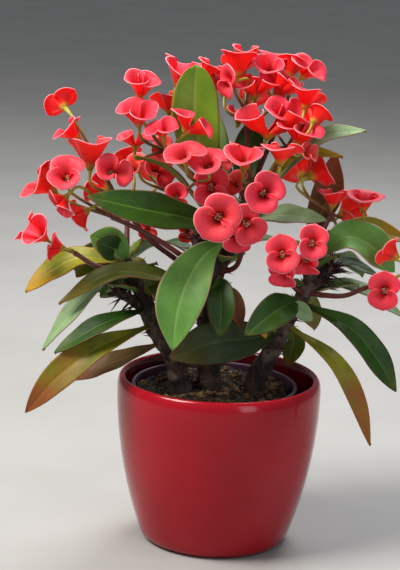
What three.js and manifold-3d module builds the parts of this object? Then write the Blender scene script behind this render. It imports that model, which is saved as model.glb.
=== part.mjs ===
// Crown of thorns (Euphorbia milii) growing in a thin nursery pot inside a glazed cover pot.
// Millimetres, +Z up, +X to the right, -Y towards the front.
// Origin: centre of the pot's foot, on the surface that it stands on.
import * as THREE from 'three';
import { mergeVertices } from 'three/addons/utils/BufferGeometryUtils.js';
import Module from 'manifold-3d';

const wasm = await Module();
wasm.setup();

// ---- Driving dimensions ----
const GAP = 0.3; // clearance that touching pieces keep

const POT_FOOT_RADIUS = 45.6;
const POT_RADIUS = 65;
const POT_HEIGHT = 108;
const POT_WALL = 6.5;
const POT_FLOOR = 8;
const POT_LIP_DROP = 8; // height over which the lip rounds down into the wall
const POT_SWELL = 0.8; // under 1 rounds the wall out sooner above the foot
const POT_SIDES = 32;
const WALL_RINGS = 6;
const LIP_RINGS = 5;

const NURSERY_OFFSET_X = -3; // the nursery pot stands a little off centre
const NURSERY_BASE_RADIUS = 35;
const NURSERY_RADIUS = 52;
const NURSERY_TOP = 102;
const NURSERY_WALL = 1.2;
const NURSERY_RIM_DEPTH = 5;
const NURSERY_SIDES = 24;
const DRAIN_HOLE_RADIUS = 4;
const DRILL_LENGTH = 6;
const DRAIN_HOLES = 5;
const DRAIN_RING_RADIUS = 22;

const SOIL_TOP = 97.5;
const SOIL_LUMP = 2.2; // how far the surface rises and falls
const SOIL_RINGS = 4;

const STEM_SIDES = 8;
const STEM_STEPS = 10;
const THORN_LENGTH = 9;
const THORN_RADIUS = 1.4;
const THORN_TIP = 0.15;
const THORN_CLEARANCE = 14; // bare height of a stem above the soil

const LEAF_THICKNESS = 1.1;
const LEAF_FOLD = 0.16; // rise of a leaf's halves from its midrib, to its half width
const LEAF_STEPS = 5;
const LEAF_WIDEST = 1.4; // over 1 moves a leaf's widest place towards its tip
const LEAF_BLUNTNESS = 0.85;
const LEAF_EDGE = 0.3;
const PETIOLE_WIDTH = 3;

const PEDUNCLE_RADIUS = 1.5;
const PEDICEL_RADIUS = 1.25;
const CUP_HEIGHT = 2; // the small cup of true flowers in the middle
const NOTCH = 0.6; // how far the notch between two bracts leaves them, to their radius
const BRACT_SIDES = 8;
const THROAT_RADIUS = 0.4; // the narrow part of a bract pair, to its radius
const THROAT_DEPTH = 0.5; // how far the throat is from the stalk to the rim
const FLOWER_MIDDLE = 0.6; // where a flower's middle is from its stalk to its rim
const GOLDEN_ANGLE = Math.PI * (3 - Math.sqrt(5));

// ---- Colours ----
const GLAZE = new THREE.MeshStandardMaterial({ color: 0x8b1620, roughness: 0.15 });
const NURSERY_PLASTIC = new THREE.MeshStandardMaterial({ color: 0x5a2a6a, roughness: 0.5 });
const PEAT = new THREE.MeshStandardMaterial({ color: 0x1e140e, roughness: 1 });
const BARK = new THREE.MeshStandardMaterial({ color: 0x4a352c, roughness: 0.9 });
const BRACT = new THREE.MeshStandardMaterial({ color: 0xe8323c, roughness: 0.55 });

// ---- Where the stems grow: points from the soil up, radius at the foot and at the tip ----
const STEMS = {
  left_stem: {
    route: [
      [-22, -10, 80], [-24, -11, 100], [-30, -12, 121], [-42, -12, 140],
      [-49, -11, 158], [-56, -8, 171], [-62, -6, 183],
    ],
    foot: 7, tip: 4, thorns: 12,
    branches: [
      { route: [[-46, -12, 148], [-54, -13, 156], [-68, -11, 163]], foot: 3.5, tip: 3, thorns: 5 },
    ],
  },
  centre_stem: {
    route: [
      [-4, -4, 80], [-5, -5, 105], [-9, -5, 138], [-10, -6, 158],
      [-5, -8, 175], [2, -10, 195], [3, -9, 211],
    ],
    foot: 6.5, tip: 4.5, thorns: 14,
    branches: [
      { route: [[-7, -7, 176], [-13, -8, 187], [-17, -8, 199]], foot: 4, tip: 5, thorns: 7 },
    ],
  },
  back_stem: {
    route: [[-6, 16, 80], [-7, 18, 110], [-8, 20, 140], [-4, 19, 170], [4, 16, 195], [16, 11, 222]],
    foot: 6.5, tip: 4, thorns: 12,
    branches: [],
  },
  right_stem: {
    route: [
      [21, 0, 80], [24, 0, 106], [34, 0, 128], [40, 0, 142],
      [46, 0, 153], [52, 1, 165], [57, 2, 179], [58, 3, 192],
    ],
    foot: 7, tip: 4, thorns: 14,
    branches: [
      { route: [[50, 1, 161], [60, 3, 170], [69, 4, 181]], foot: 4, tip: 4, thorns: 12 },
    ],
  },
};

// ---- Leaves: stem, height where each leaves it, way its face looks, and points from there to its tip ----
const SAGE = 0x6fa463;
const DARK = 0x2f5a1c;
const OLIVE = 0x6a6a14;
const YELLOW = 0xb09a20;
const RUST = 0xa8642a;
const PALE = 0x9fc09a;
const LEAVES = {
  front_leaf: {
    stem: 'centre_stem', from: 199, width: 30, face: [-1, -8, 3], colour: SAGE,
    route: [[-13, -24, 190], [-26, -42, 166], [-30, -50, 136]],
  },
  front_left_leaf: {
    stem: 'centre_stem', from: 203, width: 24, face: [0, -6, 4], colour: DARK,
    route: [[-22, -28, 214], [-50, -46, 222], [-84, -52, 230]],
  },
  upright_leaf: {
    stem: 'centre_stem', from: 210, width: 28, face: [1, -8, 1], colour: OLIVE,
    route: [[-6, -11, 230], [-20, -12, 266], [-22, -10, 306]],
  },
  arching_leaf: {
    stem: 'centre_stem', from: 158, width: 16, face: [0, -2, 6], colour: OLIVE,
    route: [[-28, -25, 173], [-66, -25, 178], [-102, -22, 156]],
  },
  left_brown_leaf: {
    stem: 'left_stem', from: 168, width: 15, face: [0, -3, 5], colour: DARK,
    route: [[-70, 4, 166], [-88, 5, 157]],
  },
  left_pale_leaf: {
    stem: 'left_stem', from: 172, width: 14, face: [-2, -4, 4], colour: PALE,
    route: [[-73, -13, 170], [-90, -18, 154], [-112, -19, 125]],
  },
  left_dark_leaf: {
    stem: 'left_stem', from: 152, width: 14, face: [0, -3, 5], colour: OLIVE,
    route: [[-74, -34, 147], [-103, -36, 128]],
  },
  low_left_leaf: {
    stem: 'left_stem', from: 142, width: 19, face: [-1, -4, 4], colour: OLIVE,
    route: [[-78, -36, 131], [-102, -40, 112], [-120, -40, 90]],
  },
  low_rust_leaf: {
    stem: 'left_stem', from: 131, width: 14, face: [0, -3, 5], colour: RUST,
    route: [[-66, -22, 120], [-92, -26, 108]],
  },
  yellow_leaf: {
    stem: 'left_stem', from: 180, width: 18, face: [0, -4, 4], colour: YELLOW,
    route: [[-92, 2, 180], [-110, 2, 170], [-125, 1, 157]],
  },
  left_round_leaf: {
    stem: 'left_stem', from: 174, width: 20, face: [0, -5, 2], colour: DARK,
    route: [[-80, 15, 178], [-98, 17, 170]],
  },
  inner_left_leaf: {
    stem: 'left_stem', from: 179, width: 19, face: [0, -6, 2], colour: SAGE,
    route: [[-68, -9, 191], [-84, -9, 197]],
  },
  curled_leaf: {
    stem: 'centre_stem', from: 196, width: 13, face: [0, -1, 6], colour: OLIVE,
    route: [[-14, 2, 214], [-36, -4, 239], [-58, -10, 249]],
  },
  centre_small_leaf: {
    stem: 'centre_stem', from: 169, width: 17, face: [0, -6, 2], colour: DARK,
    route: [[-2, -28, 170], [-1, -36, 158], [-1, -38, 143]],
  },
  centre_rust_leaf: {
    stem: 'centre_stem', from: 160, width: 13, face: [2, -5, 1], colour: RUST,
    route: [[4, -23, 164], [12, -33, 148]],
  },
  right_front_leaf: {
    stem: 'right_stem', from: 158, width: 20, face: [1, -5, 3], colour: DARK,
    route: [[33, -36, 160], [14, -48, 147]],
  },
  shaded_leaf: {
    stem: 'right_stem', from: 136, width: 27, face: [0, -6, 1], colour: DARK,
    route: [[18, -22, 138], [-4, -30, 137], [-32, -34, 127]],
  },
  right_small_leaf: {
    stem: 'right_stem', from: 140, width: 14, face: [1, -6, 1], colour: OLIVE,
    route: [[47, 12, 130], [44, 15, 111]],
  },
  right_low_leaf: {
    stem: 'right_stem', from: 157, width: 18, face: [2, -4, 4], colour: DARK,
    route: [[80, -12, 145], [98, -13, 126], [112, -12, 104]],
  },
  hanging_leaf: {
    stem: 'right_stem', from: 143, width: 13, face: [2, -5, 2], colour: OLIVE,
    route: [[72, -32, 127], [86, -37, 104], [95, -38, 76]],
  },
  right_pale_leaf: {
    stem: 'right_stem', from: 170, width: 18, face: [0, -2, 6], colour: PALE,
    route: [[88, 14, 163], [117, 16, 146]],
  },
  right_thin_leaf: {
    stem: 'right_stem', from: 180, width: 13, face: [0, -2, 5], colour: DARK,
    route: [[80, 18, 179], [99, 20, 172]],
  },
  right_broad_leaf: {
    stem: 'right_stem', from: 184, width: 27, face: [0, -4, 5], colour: SAGE,
    route: [[76, -7, 202], [92, -7, 196], [107, -5, 180]],
  },
  right_yellow_leaf: {
    stem: 'right_stem', from: 186, width: 17, face: [0, -4, 4], colour: YELLOW,
    route: [[86, 24, 200], [119, 30, 194]],
  },
  inner_right_leaf: {
    stem: 'back_stem', from: 203, width: 16, face: [0, -4, 4], colour: PALE,
    route: [[34, -7, 214], [62, -17, 214]],
  },
  upper_right_leaf: {
    stem: 'back_stem', from: 212, width: 16, face: [1, -4, 4], colour: PALE,
    route: [[28, 12, 229], [42, 7, 249], [62, 3, 264], [85, 0, 268]],
  },
  rear_round_leaf: {
    stem: 'right_stem', from: 186, width: 20, face: [-2, -5, 0], colour: RUST,
    route: [[60, 24, 206], [66, 33, 223], [69, 33, 248]],
  },
  upper_rear_leaf: {
    stem: 'back_stem', from: 213, width: 18, face: [0, -6, 1], colour: DARK,
    route: [[12, 25, 246], [19, 29, 272]],
  },
  back_left_leaf: {
    stem: 'back_stem', from: 168, width: 24, face: [-2, 3, 6], colour: DARK,
    route: [[-38, 50, 182], [-72, 72, 160]],
  },
  back_right_leaf: {
    stem: 'right_stem', from: 176, width: 24, face: [2, 3, 6], colour: SAGE,
    route: [[72, 44, 180], [94, 68, 160]],
  },
  back_centre_leaf: {
    stem: 'back_stem', from: 190, width: 26, face: [0, 3, 6], colour: DARK,
    route: [[4, 56, 202], [8, 88, 180]],
  },
  back_low_leaf: {
    stem: 'back_stem', from: 150, width: 22, face: [0, 3, 5], colour: OLIVE,
    route: [[-16, 52, 152], [-26, 82, 122]],
  },
  back_low_right_leaf: {
    stem: 'right_stem', from: 146, width: 22, face: [1, 3, 5], colour: OLIVE,
    route: [[50, 40, 150], [64, 76, 120]],
  },
  back_upper_leaf: {
    stem: 'back_stem', from: 206, width: 22, face: [0, 5, 2], colour: SAGE,
    route: [[-8, 38, 238], [-14, 54, 278]],
  },
};

// ---- Flower clusters: stem, height where the stalk leaves it, points to the fork, then the flowers ----
// flower: [x, y, z of its middle, heading and tilt of its face, width, turn of its bracts, depth to width]
const CLUSTERS = {
  low_left_flowers: {
    stem: 'left_stem', from: 177, fork: [[-78, -12, 178], [-93, -15, 187]],
    flowers: [
      [-118, -20, 201, -150, 35, 23, 0, 0.55],
      [-104, -22, 192, -175, 10, 17, 0, 0.55],
    ],
  },
  big_left_flowers: {
    stem: 'centre_stem', from: 170, fork: [[-20, -19, 184], [-46, -21, 201], [-70, -26, 213]],
    flowers: [
      [-97, -42, 241, -97, 50, 25, -5, 0.42],
      [-112, -34, 234, -172, 28, 28, 80, 0.55],
      [-100, -44, 225, -150, -35, 18, 40, 0.5],
      [-88, -34, 216, 175, -30, 19, 30, 0.5],
    ],
  },
  middle_left_flowers: {
    stem: 'centre_stem', from: 166, fork: [[-30, -10, 184], [-48, -13, 198], [-68, -16, 224]],
    flowers: [
      [-70, -32, 242, -60, 25, 22, 60, 0.5],
      [-84, -18, 251, 60, 84, 27, 0, 0.5],
      [-96, -22, 264, 168, 45, 22, 90, 0.55],
      [-103, -10, 280, 125, 30, 22, 20, 0.35],
    ],
  },
  top_left_flowers: {
    stem: 'back_stem', from: 196, fork: [[-14, 14, 226], [-40, 6, 250]],
    flowers: [
      [-55, 2, 289, -50, 78, 24, -60, 0.62],
      [-56, -8, 274, -110, 68, 27, 75, 0.45],
      [-58, 6, 256, -100, 84, 18, 10, 0.55],
    ],
  },
  top_middle_flowers: {
    stem: 'back_stem', from: 217, fork: [[0, 15, 240], [-18, 13, 264]],
    flowers: [
      [-29, 10, 300, -30, 74, 28, -60, 0.62],
      [-14, 16, 300, 10, 60, 20, 60, 0.6],
      [-39, 12, 280, 120, 72, 19, 0, 0.7],
      [-9, 22, 291, 10, 40, 17, 60, 0.6],
    ],
  },
  centre_left_flowers: {
    stem: 'centre_stem', from: 207, fork: [[-4, -19, 219], [-19, -29, 237]],
    flowers: [
      [-26, -44, 255, -105, 66, 25, -40, 0.42],
      [-12, -42, 251, -95, 64, 25, -20, 0.42],
      [-10, -28, 234, -90, 10, 24, 0, 0.4],
      [-41, -24, 267, -115, 62, 20, 100, 0.45],
      [-23, -27, 272, -10, 55, 24, 0, 0.55],
      [-31, -14, 224, -90, 10, 17, 0, 0.5],
    ],
  },
  front_flowers: {
    stem: 'centre_stem', from: 176, fork: [[7, -20, 183], [12, -34, 204]],
    flowers: [
      [-5, -60, 222, -92, 8, 30, -35, 0.3],
      [12, -49, 216, -85, -5, 26, 40, 0.3],
      [22, -50, 236, -75, 18, 26, -40, 0.38],
      [7, -40, 206, -95, -25, 20, 0, 0.35],
    ],
  },
  centre_flowers: {
    stem: 'centre_stem', from: 203, fork: [[12, -13, 221], [15, -15, 236]],
    flowers: [
      [10, -33, 255, -75, 80, 29, 80, 0.55],
      [32, -33, 257, 60, 75, 26, 0, 0.5],
      [6, -20, 236, -120, 40, 15, 0, 0.5],
      [3, -24, 251, -150, 20, 14, 0, 0.5],
    ],
  },
  top_flowers: {
    stem: 'back_stem', from: 221, fork: [[13, 11, 248], [10, 11, 276]],
    flowers: [
      [4, 16, 304, 80, 62, 27, 10, 0.6],
      [8, 30, 312, -85, 84, 18, 85, 0.75],
      [0, 2, 295, -150, -5, 21, 0, 0.4],
      [5, 12, 274, -90, 80, 16, 90, 0.6],
      [16, 10, 292, -80, 75, 24, 90, 0.6],
    ],
  },
  top_right_flowers: {
    stem: 'back_stem', from: 208, fork: [[20, 24, 236], [34, 21, 274]],
    flowers: [
      [25, 24, 304, -75, 72, 24, -30, 0.6],
      [38, 28, 302, 60, 60, 22, 0, 0.6],
      [33, 12, 292, -10, 50, 19, 0, 0.8],
      [48, 20, 301, -35, 45, 23, 20, 0.5],
    ],
  },
  right_flowers: {
    stem: 'back_stem', from: 210, fork: [[24, -2, 232], [36, -3, 256]],
    flowers: [
      [48, 2, 287, 60, 62, 22, 10, 0.65],
      [26, -6, 274, -20, 74, 27, 10, 0.6],
      [34, 0, 276, -60, 55, 27, 70, 0.5],
      [53, -6, 276, 60, 40, 19, 60, 0.5],
      [44, -13, 266, -50, 72, 28, 10, 0.5],
      [48, -14, 255, -40, 20, 14, 60, 0.6],
    ],
  },
  right_back_flowers: {
    stem: 'right_stem', from: 191, fork: [[63, 10, 204], [67, 13, 212]],
    flowers: [
      [56, 8, 239, 30, 25, 27, 70, 0.45],
      [68, 16, 222, 60, 70, 20, 0, 0.6],
      [89, 18, 220, 70, 72, 27, 10, 0.5],
      [77, 15, 207, 40, 20, 12, 0, 0.6],
    ],
  },
  front_right_flowers: {
    stem: 'right_stem', from: 162, fork: [[42, -18, 174], [42, -30, 186]],
    flowers: [
      [34, -56, 200, -95, 20, 23, 10, 0.35],
      [36, -40, 185, -110, -30, 20, 0, 0.35],
      [52, -52, 207, -80, 22, 21, -10, 0.35],
      [49, -40, 192, -100, -40, 20, 0, 0.35],
    ],
  },
  far_right_flowers: {
    stem: 'right_stem', from: 163, fork: [[76, -7, 164], [89, -12, 171]],
    flowers: [
      [100, -20, 171, -105, 5, 23, 0, 0.32],
      [103, -20, 195, 150, 30, 20, 0, 0.5],
    ],
  },
  rear_left_flowers: {
    stem: 'back_stem', from: 186, fork: [[-18, 24, 204], [-36, 24, 220]],
    flowers: [
      [-44, 20, 234, -60, 25, 20, 30, 0.5],
      [-58, 22, 237, -120, 50, 16, 0, 0.6],
      [-41, 18, 250, -100, 30, 15, 0, 0.5],
      [-24, 24, 195, -90, -10, 13, 0, 0.5],
      [-49, 24, 197, -90, 0, 14, 0, 0.5],
    ],
  },
  back_top_flowers: {
    stem: 'back_stem', from: 202, fork: [[12, 34, 232], [14, 46, 262]],
    flowers: [
      [-4, 52, 288, 100, 60, 27, 60, 0.6],
      [16, 62, 280, 80, 40, 27, 0, 0.4],
      [32, 48, 290, 60, 60, 26, 90, 0.5],
    ],
  },
  back_left_flowers: {
    stem: 'left_stem', from: 181, fork: [[-62, 22, 204], [-60, 40, 212]],
    flowers: [
      [-66, 54, 234, 130, 45, 27, 0, 0.4],
      [-46, 62, 226, 90, 40, 26, 0, 0.4],
      [-82, 48, 218, 160, 20, 25, 30, 0.5],
    ],
  },
  back_right_flowers: {
    stem: 'right_stem', from: 180, fork: [[54, 24, 190], [60, 42, 208]],
    flowers: [
      [72, 54, 234, 60, 45, 27, 0, 0.4],
      [50, 60, 230, 90, 30, 26, 60, 0.4],
      [86, 46, 220, 30, 30, 25, 0, 0.5],
    ],
  },
};

// ---- Solids ----
function vector([x, y, z]) {
  return new THREE.Vector3(x, y, z);
}

// A closed geometry as a solid that can be joined and cut
function toSolid(geometry) {
  const bare = geometry.clone();
  bare.deleteAttribute('normal');
  bare.deleteAttribute('uv');
  const merged = mergeVertices(bare, 1e-4);
  const corners = merged.index.array;
  const triangles = [];
  for (let i = 0; i < corners.length; i += 3) {
    const [a, b, c] = [corners[i], corners[i + 1], corners[i + 2]];
    if (a !== b && b !== c && c !== a) {
      triangles.push(a, b, c);
    }
  }
  return new wasm.Manifold(new wasm.Mesh({
    numProp: 3,
    vertProperties: new Float32Array(merged.attributes.position.array),
    triVerts: new Uint32Array(triangles),
  }));
}

function toGeometry(solid) {
  const mesh = solid.getMesh();
  const geometry = new THREE.BufferGeometry();
  geometry.setAttribute('position', new THREE.BufferAttribute(new Float32Array(mesh.vertProperties), 3));
  geometry.setIndex(new THREE.BufferAttribute(new Uint32Array(mesh.triVerts), 1));
  geometry.computeVertexNormals();
  return geometry;
}

function joined(solids) {
  return solids.reduce((sum, solid) => sum.add(solid));
}

// A lathe turned about Y, stood up along +Z
function turned(profile, sides) {
  const points = profile.map(([radius, height]) => new THREE.Vector2(radius, height));
  return new THREE.LatheGeometry(points, sides).rotateX(Math.PI / 2);
}

// Bends a geometry that runs from y = 0 to y = 1 along a curve. Its x lies across the curve, and
// its z along the side that faces the way given.
function bentAlong(geometry, curve, face) {
  const position = geometry.attributes.position;
  for (let i = 0; i < position.count; i++) {
    const along = THREE.MathUtils.clamp(position.getY(i), 0, 1);
    const centre = curve.getPointAt(along);
    const tangent = curve.getTangentAt(along);
    const across = new THREE.Vector3().crossVectors(tangent, face).normalize();
    const normal = new THREE.Vector3().crossVectors(across, tangent);
    centre.addScaledVector(across, position.getX(i)).addScaledVector(normal, position.getZ(i));
    position.setXYZ(i, centre.x, centre.y, centre.z);
  }
  return geometry;
}

// A direction that no stem or stalk runs along, from which their cross-sections are turned
const FRONT = new THREE.Vector3(0.1, -1, 0.05);

// A round stalk along a curve, tapering from one radius to the other
function stalk(curve, footRadius, tipRadius, sides, steps, face = FRONT) {
  const tube = new THREE.CylinderGeometry(tipRadius, footRadius, 1, sides, steps).translate(0, 0.5, 0);
  return toSolid(bentAlong(tube, curve, face));
}

// ---- Pots and soil ----
function coverPotOutline() {
  const wallTop = POT_HEIGHT - POT_LIP_DROP;
  const outside = [];
  for (let i = 0; i <= WALL_RINGS; i++) {
    const rise = i / WALL_RINGS;
    const swell = Math.sin(rise * Math.PI / 2) ** POT_SWELL;
    outside.push([POT_FOOT_RADIUS + (POT_RADIUS - POT_FOOT_RADIUS) * swell, wallTop * rise]);
  }
  const lip = [];
  const lipCentre = POT_RADIUS - POT_WALL / 2;
  for (let i = 1; i < LIP_RINGS; i++) {
    const angle = Math.PI * i / LIP_RINGS;
    lip.push([lipCentre + Math.cos(angle) * POT_WALL / 2, wallTop + Math.sin(angle) * POT_LIP_DROP]);
  }
  const inside = outside.slice(2).reverse().map(([radius, height]) => [radius - POT_WALL, height]);
  return [[0, 0], ...outside, ...lip, ...inside, [POT_FOOT_RADIUS - POT_WALL, POT_FLOOR], [0, POT_FLOOR]];
}

function nurseryRadiusAt(height) {
  const rise = (height - POT_FLOOR) / (NURSERY_TOP - POT_FLOOR);
  return NURSERY_BASE_RADIUS + (NURSERY_RADIUS - NURSERY_BASE_RADIUS) * rise;
}

function nurseryPot() {
  const foot = POT_FLOOR + GAP;
  const rimRadius = NURSERY_RADIUS + NURSERY_WALL;
  const shell = toSolid(turned([
    [0, foot],
    [NURSERY_BASE_RADIUS, foot],
    [nurseryRadiusAt(NURSERY_TOP - NURSERY_RIM_DEPTH), NURSERY_TOP - NURSERY_RIM_DEPTH],
    [rimRadius, NURSERY_TOP - NURSERY_RIM_DEPTH],
    [rimRadius, NURSERY_TOP],
    [NURSERY_RADIUS - NURSERY_WALL, NURSERY_TOP],
    [NURSERY_BASE_RADIUS - NURSERY_WALL, foot + NURSERY_WALL],
    [0, foot + NURSERY_WALL],
  ], NURSERY_SIDES));
  const drains = [];
  for (let i = 0; i < DRAIN_HOLES; i++) {
    const angle = 2 * Math.PI * i / DRAIN_HOLES;
    const drill = new THREE.CylinderGeometry(DRAIN_HOLE_RADIUS, DRAIN_HOLE_RADIUS, DRILL_LENGTH, 10);
    drill.rotateX(Math.PI / 2);
    drill.translate(DRAIN_RING_RADIUS * Math.cos(angle), DRAIN_RING_RADIUS * Math.sin(angle), foot);
    drains.push(toSolid(drill));
  }
  return shell.subtract(joined(drains)).translate([NURSERY_OFFSET_X, 0, 0]);
}

function soilPlug(sockets) {
  const bottom = POT_FLOOR + NURSERY_WALL + 2 * GAP;
  const clear = NURSERY_WALL + GAP;
  const rings = [];
  for (let i = SOIL_RINGS; i >= 0; i--) {
    rings.push([(nurseryRadiusAt(SOIL_TOP) - clear - 2 * GAP) * i / SOIL_RINGS, SOIL_TOP]);
  }
  const base = [[0, bottom], [nurseryRadiusAt(bottom) - clear - GAP, bottom]];
  const plug = turned([...base, ...rings], NURSERY_SIDES);
  const position = plug.attributes.position;
  for (let i = 0; i < position.count; i++) {
    const [x, y, z] = [position.getX(i), position.getY(i), position.getZ(i)];
    if (z > SOIL_TOP - 1) {
      position.setZ(i, z + SOIL_LUMP * Math.sin(x / 7) * Math.cos(y / 9 + x / 17));
    }
  }
  return toSolid(plug).translate([NURSERY_OFFSET_X, 0, 0]).subtract(sockets);
}

// ---- Stems ----
function stemCurve(route) {
  return new THREE.CatmullRomCurve3(route.map(vector), false, 'centripetal');
}

// The point on a stem's middle line at a given height
function pointAtHeight(stemName, height) {
  const curve = stemCurve(STEMS[stemName].route);
  let [low, high] = [0, 1];
  for (let i = 0; i < 20; i++) {
    const middle = (low + high) / 2;
    if (curve.getPointAt(middle).z < height) {
      low = middle;
    } else {
      high = middle;
    }
  }
  return curve.getPointAt(low);
}

function shoot(part, steps, grow = 0) {
  return stalk(stemCurve(part.route), part.foot + grow, part.tip + grow, STEM_SIDES, steps);
}

// Thorns stand round the shoot in a spiral, and none grows where a leaf or flower stalk leaves it
function thorns(part, rootsNearby, lowest) {
  const curve = stemCurve(part.route);
  const spikes = [];
  for (let i = 0; i < part.thorns; i++) {
    const along = (i + 0.5) / part.thorns;
    const centre = curve.getPointAt(along);
    const tangent = curve.getTangentAt(along);
    const across = new THREE.Vector3().crossVectors(tangent, FRONT).normalize();
    const out = across.applyAxisAngle(tangent, i * GOLDEN_ANGLE).addScaledVector(tangent, 0.3).normalize();
    const radius = THREE.MathUtils.lerp(part.foot, part.tip, along);
    const tip = centre.clone().addScaledVector(out, radius + THORN_LENGTH);
    const blocked = rootsNearby.some((line) => line.some((point) => point.distanceTo(tip) < THORN_LENGTH));
    if (centre.z > lowest && !blocked) {
      const line = new THREE.LineCurve3(centre, tip);
      spikes.push(stalk(line, THORN_RADIUS, THORN_TIP, 4, 1, tangent));
    }
  }
  return spikes;
}

function stem(part, steps, rootsNearby) {
  const shoots = [shoot(part, steps), ...part.branches.map((branch) => shoot(branch, STEM_STEPS))];
  const lowest = SOIL_TOP + THORN_CLEARANCE;
  const spikes = [part, ...part.branches].flatMap((each) => thorns(each, rootsNearby, lowest));
  return joined([...shoots, ...spikes]);
}

// The room that the stems take, with the gap round them, to trim what grows out of them
function stemRoom() {
  const parts = Object.values(STEMS).flatMap((part) => [part, ...part.branches]);
  return joined(parts.map((part) => shoot(part, STEM_STEPS, GAP + 0.1)));
}

// ---- Leaves ----
// Half the width of a leaf from its stalk, at 0, to its tip, at 1: widest a little past the middle
function halfWidthAt(along, width) {
  const swell = Math.sin(Math.PI * along ** LEAF_WIDEST) ** LEAF_BLUNTNESS;
  return Math.max(PETIOLE_WIDTH / 2 * (1 - along), width / 2 * swell) + LEAF_EDGE;
}

function leafCurve({ stem: stemName, from, route }) {
  const points = [pointAtHeight(stemName, from), ...route.map(vector)];
  return new THREE.CatmullRomCurve3(points, false, 'centripetal');
}

function leaf(part, trim) {
  const curve = leafCurve(part);
  const blade = new THREE.BoxGeometry(2, 1, LEAF_THICKNESS, 2, LEAF_STEPS, 1).translate(0, 0.5, 0);
  const position = blade.attributes.position;
  for (let i = 0; i < position.count; i++) {
    const side = position.getX(i);
    const half = halfWidthAt(Math.min(position.getY(i), 1), part.width);
    const fold = Math.abs(side) * half * LEAF_FOLD;
    position.setXYZ(i, side * half, position.getY(i), position.getZ(i) + fold);
  }
  return toSolid(bentAlong(blade, curve, vector(part.face).normalize())).subtract(trim);
}

// ---- Flowers ----
function facing(heading, tilt) {
  const [turn, rise] = [THREE.MathUtils.degToRad(heading), THREE.MathUtils.degToRad(tilt)];
  return new THREE.Vector3(Math.cos(turn) * Math.cos(rise), Math.sin(turn) * Math.cos(rise), Math.sin(rise));
}

// Two broad bracts round a small cup, as one shallow funnel with a notch on each side
function bractPair(width, depth) {
  const radius = width / 2;
  const throat = [radius * THROAT_RADIUS, depth * THROAT_DEPTH];
  const profile = [[0, -1], throat, [radius, depth], [0, throat[1] + CUP_HEIGHT]];
  const funnel = new THREE.LatheGeometry(profile.map(([r, h]) => new THREE.Vector2(r, h)), BRACT_SIDES);
  const position = funnel.attributes.position;
  for (let i = 0; i < position.count; i++) {
    const [x, z] = [position.getX(i), position.getZ(i)];
    const notch = Math.abs(z) > 1 && Math.abs(x) < 0.3 * Math.abs(z) ? NOTCH : 1;
    position.setXYZ(i, x * notch, position.getY(i), z * notch);
  }
  return funnel;
}

function flower([x, y, z, heading, tilt, width, turn, deepness], fork) {
  const axis = facing(heading, tilt);
  const depth = width * deepness;
  const foot = new THREE.Vector3(x, y, z).addScaledVector(axis, -depth * FLOWER_MIDDLE);
  const up = Math.abs(axis.z) > 0.98 ? new THREE.Vector3(1, 0, 0) : new THREE.Vector3(0, 0, 1);
  const side = new THREE.Vector3().crossVectors(axis, up).normalize();
  const split = new THREE.Vector3().crossVectors(side, axis);
  split.applyAxisAngle(axis, THREE.MathUtils.degToRad(turn));
  const place = new THREE.Matrix4().makeBasis(split, axis, new THREE.Vector3().crossVectors(split, axis));
  const head = bractPair(width, depth).applyMatrix4(place.setPosition(foot));
  const pedicel = new THREE.LineCurve3(fork, foot.addScaledVector(axis, 1));
  return toSolid(head).add(stalk(pedicel, PEDICEL_RADIUS, PEDICEL_RADIUS, 4, 1));
}

function peduncleCurve({ stem: stemName, from, fork }) {
  const points = [pointAtHeight(stemName, from), ...fork.map(vector)];
  return new THREE.CatmullRomCurve3(points, false, 'centripetal');
}

function cluster(part, trim) {
  const curve = peduncleCurve(part);
  const fork = curve.getPointAt(1);
  const peduncle = stalk(curve, PEDUNCLE_RADIUS, PEDUNCLE_RADIUS, 5, 4);
  const flowers = part.flowers.map((each) => flower(each, fork));
  return joined([peduncle, ...flowers]).subtract(trim);
}

// ---- The plant in its pots ----
const plant = new THREE.Group();

function addPiece(name, solid, material) {
  const mesh = new THREE.Mesh(toGeometry(solid), material.clone());
  mesh.name = name;
  plant.add(mesh);
}

const trim = stemRoom();
const roots = [
  ...Object.values(LEAVES).map((part) => leafCurve(part).getSpacedPoints(12).slice(0, 7)),
  ...Object.values(CLUSTERS).map((part) => peduncleCurve(part).getSpacedPoints(8)),
];

addPiece('cover_pot', toSolid(turned(coverPotOutline(), POT_SIDES)), GLAZE);
addPiece('nursery_pot', nurseryPot(), NURSERY_PLASTIC);
addPiece('soil', soilPlug(trim), PEAT);
for (const [name, part] of Object.entries(STEMS)) {
  addPiece(name, stem(part, STEM_STEPS, roots), BARK);
}
for (const [name, part] of Object.entries(LEAVES)) {
  addPiece(name, leaf(part, trim), new THREE.MeshStandardMaterial({ color: part.colour, roughness: 0.5 }));
}
for (const [name, part] of Object.entries(CLUSTERS)) {
  addPiece(name, cluster(part, trim), BRACT);
}

export default plant;
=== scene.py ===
import math
import random

import bmesh
import bpy
from mathutils import Matrix, Vector, noise


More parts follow.
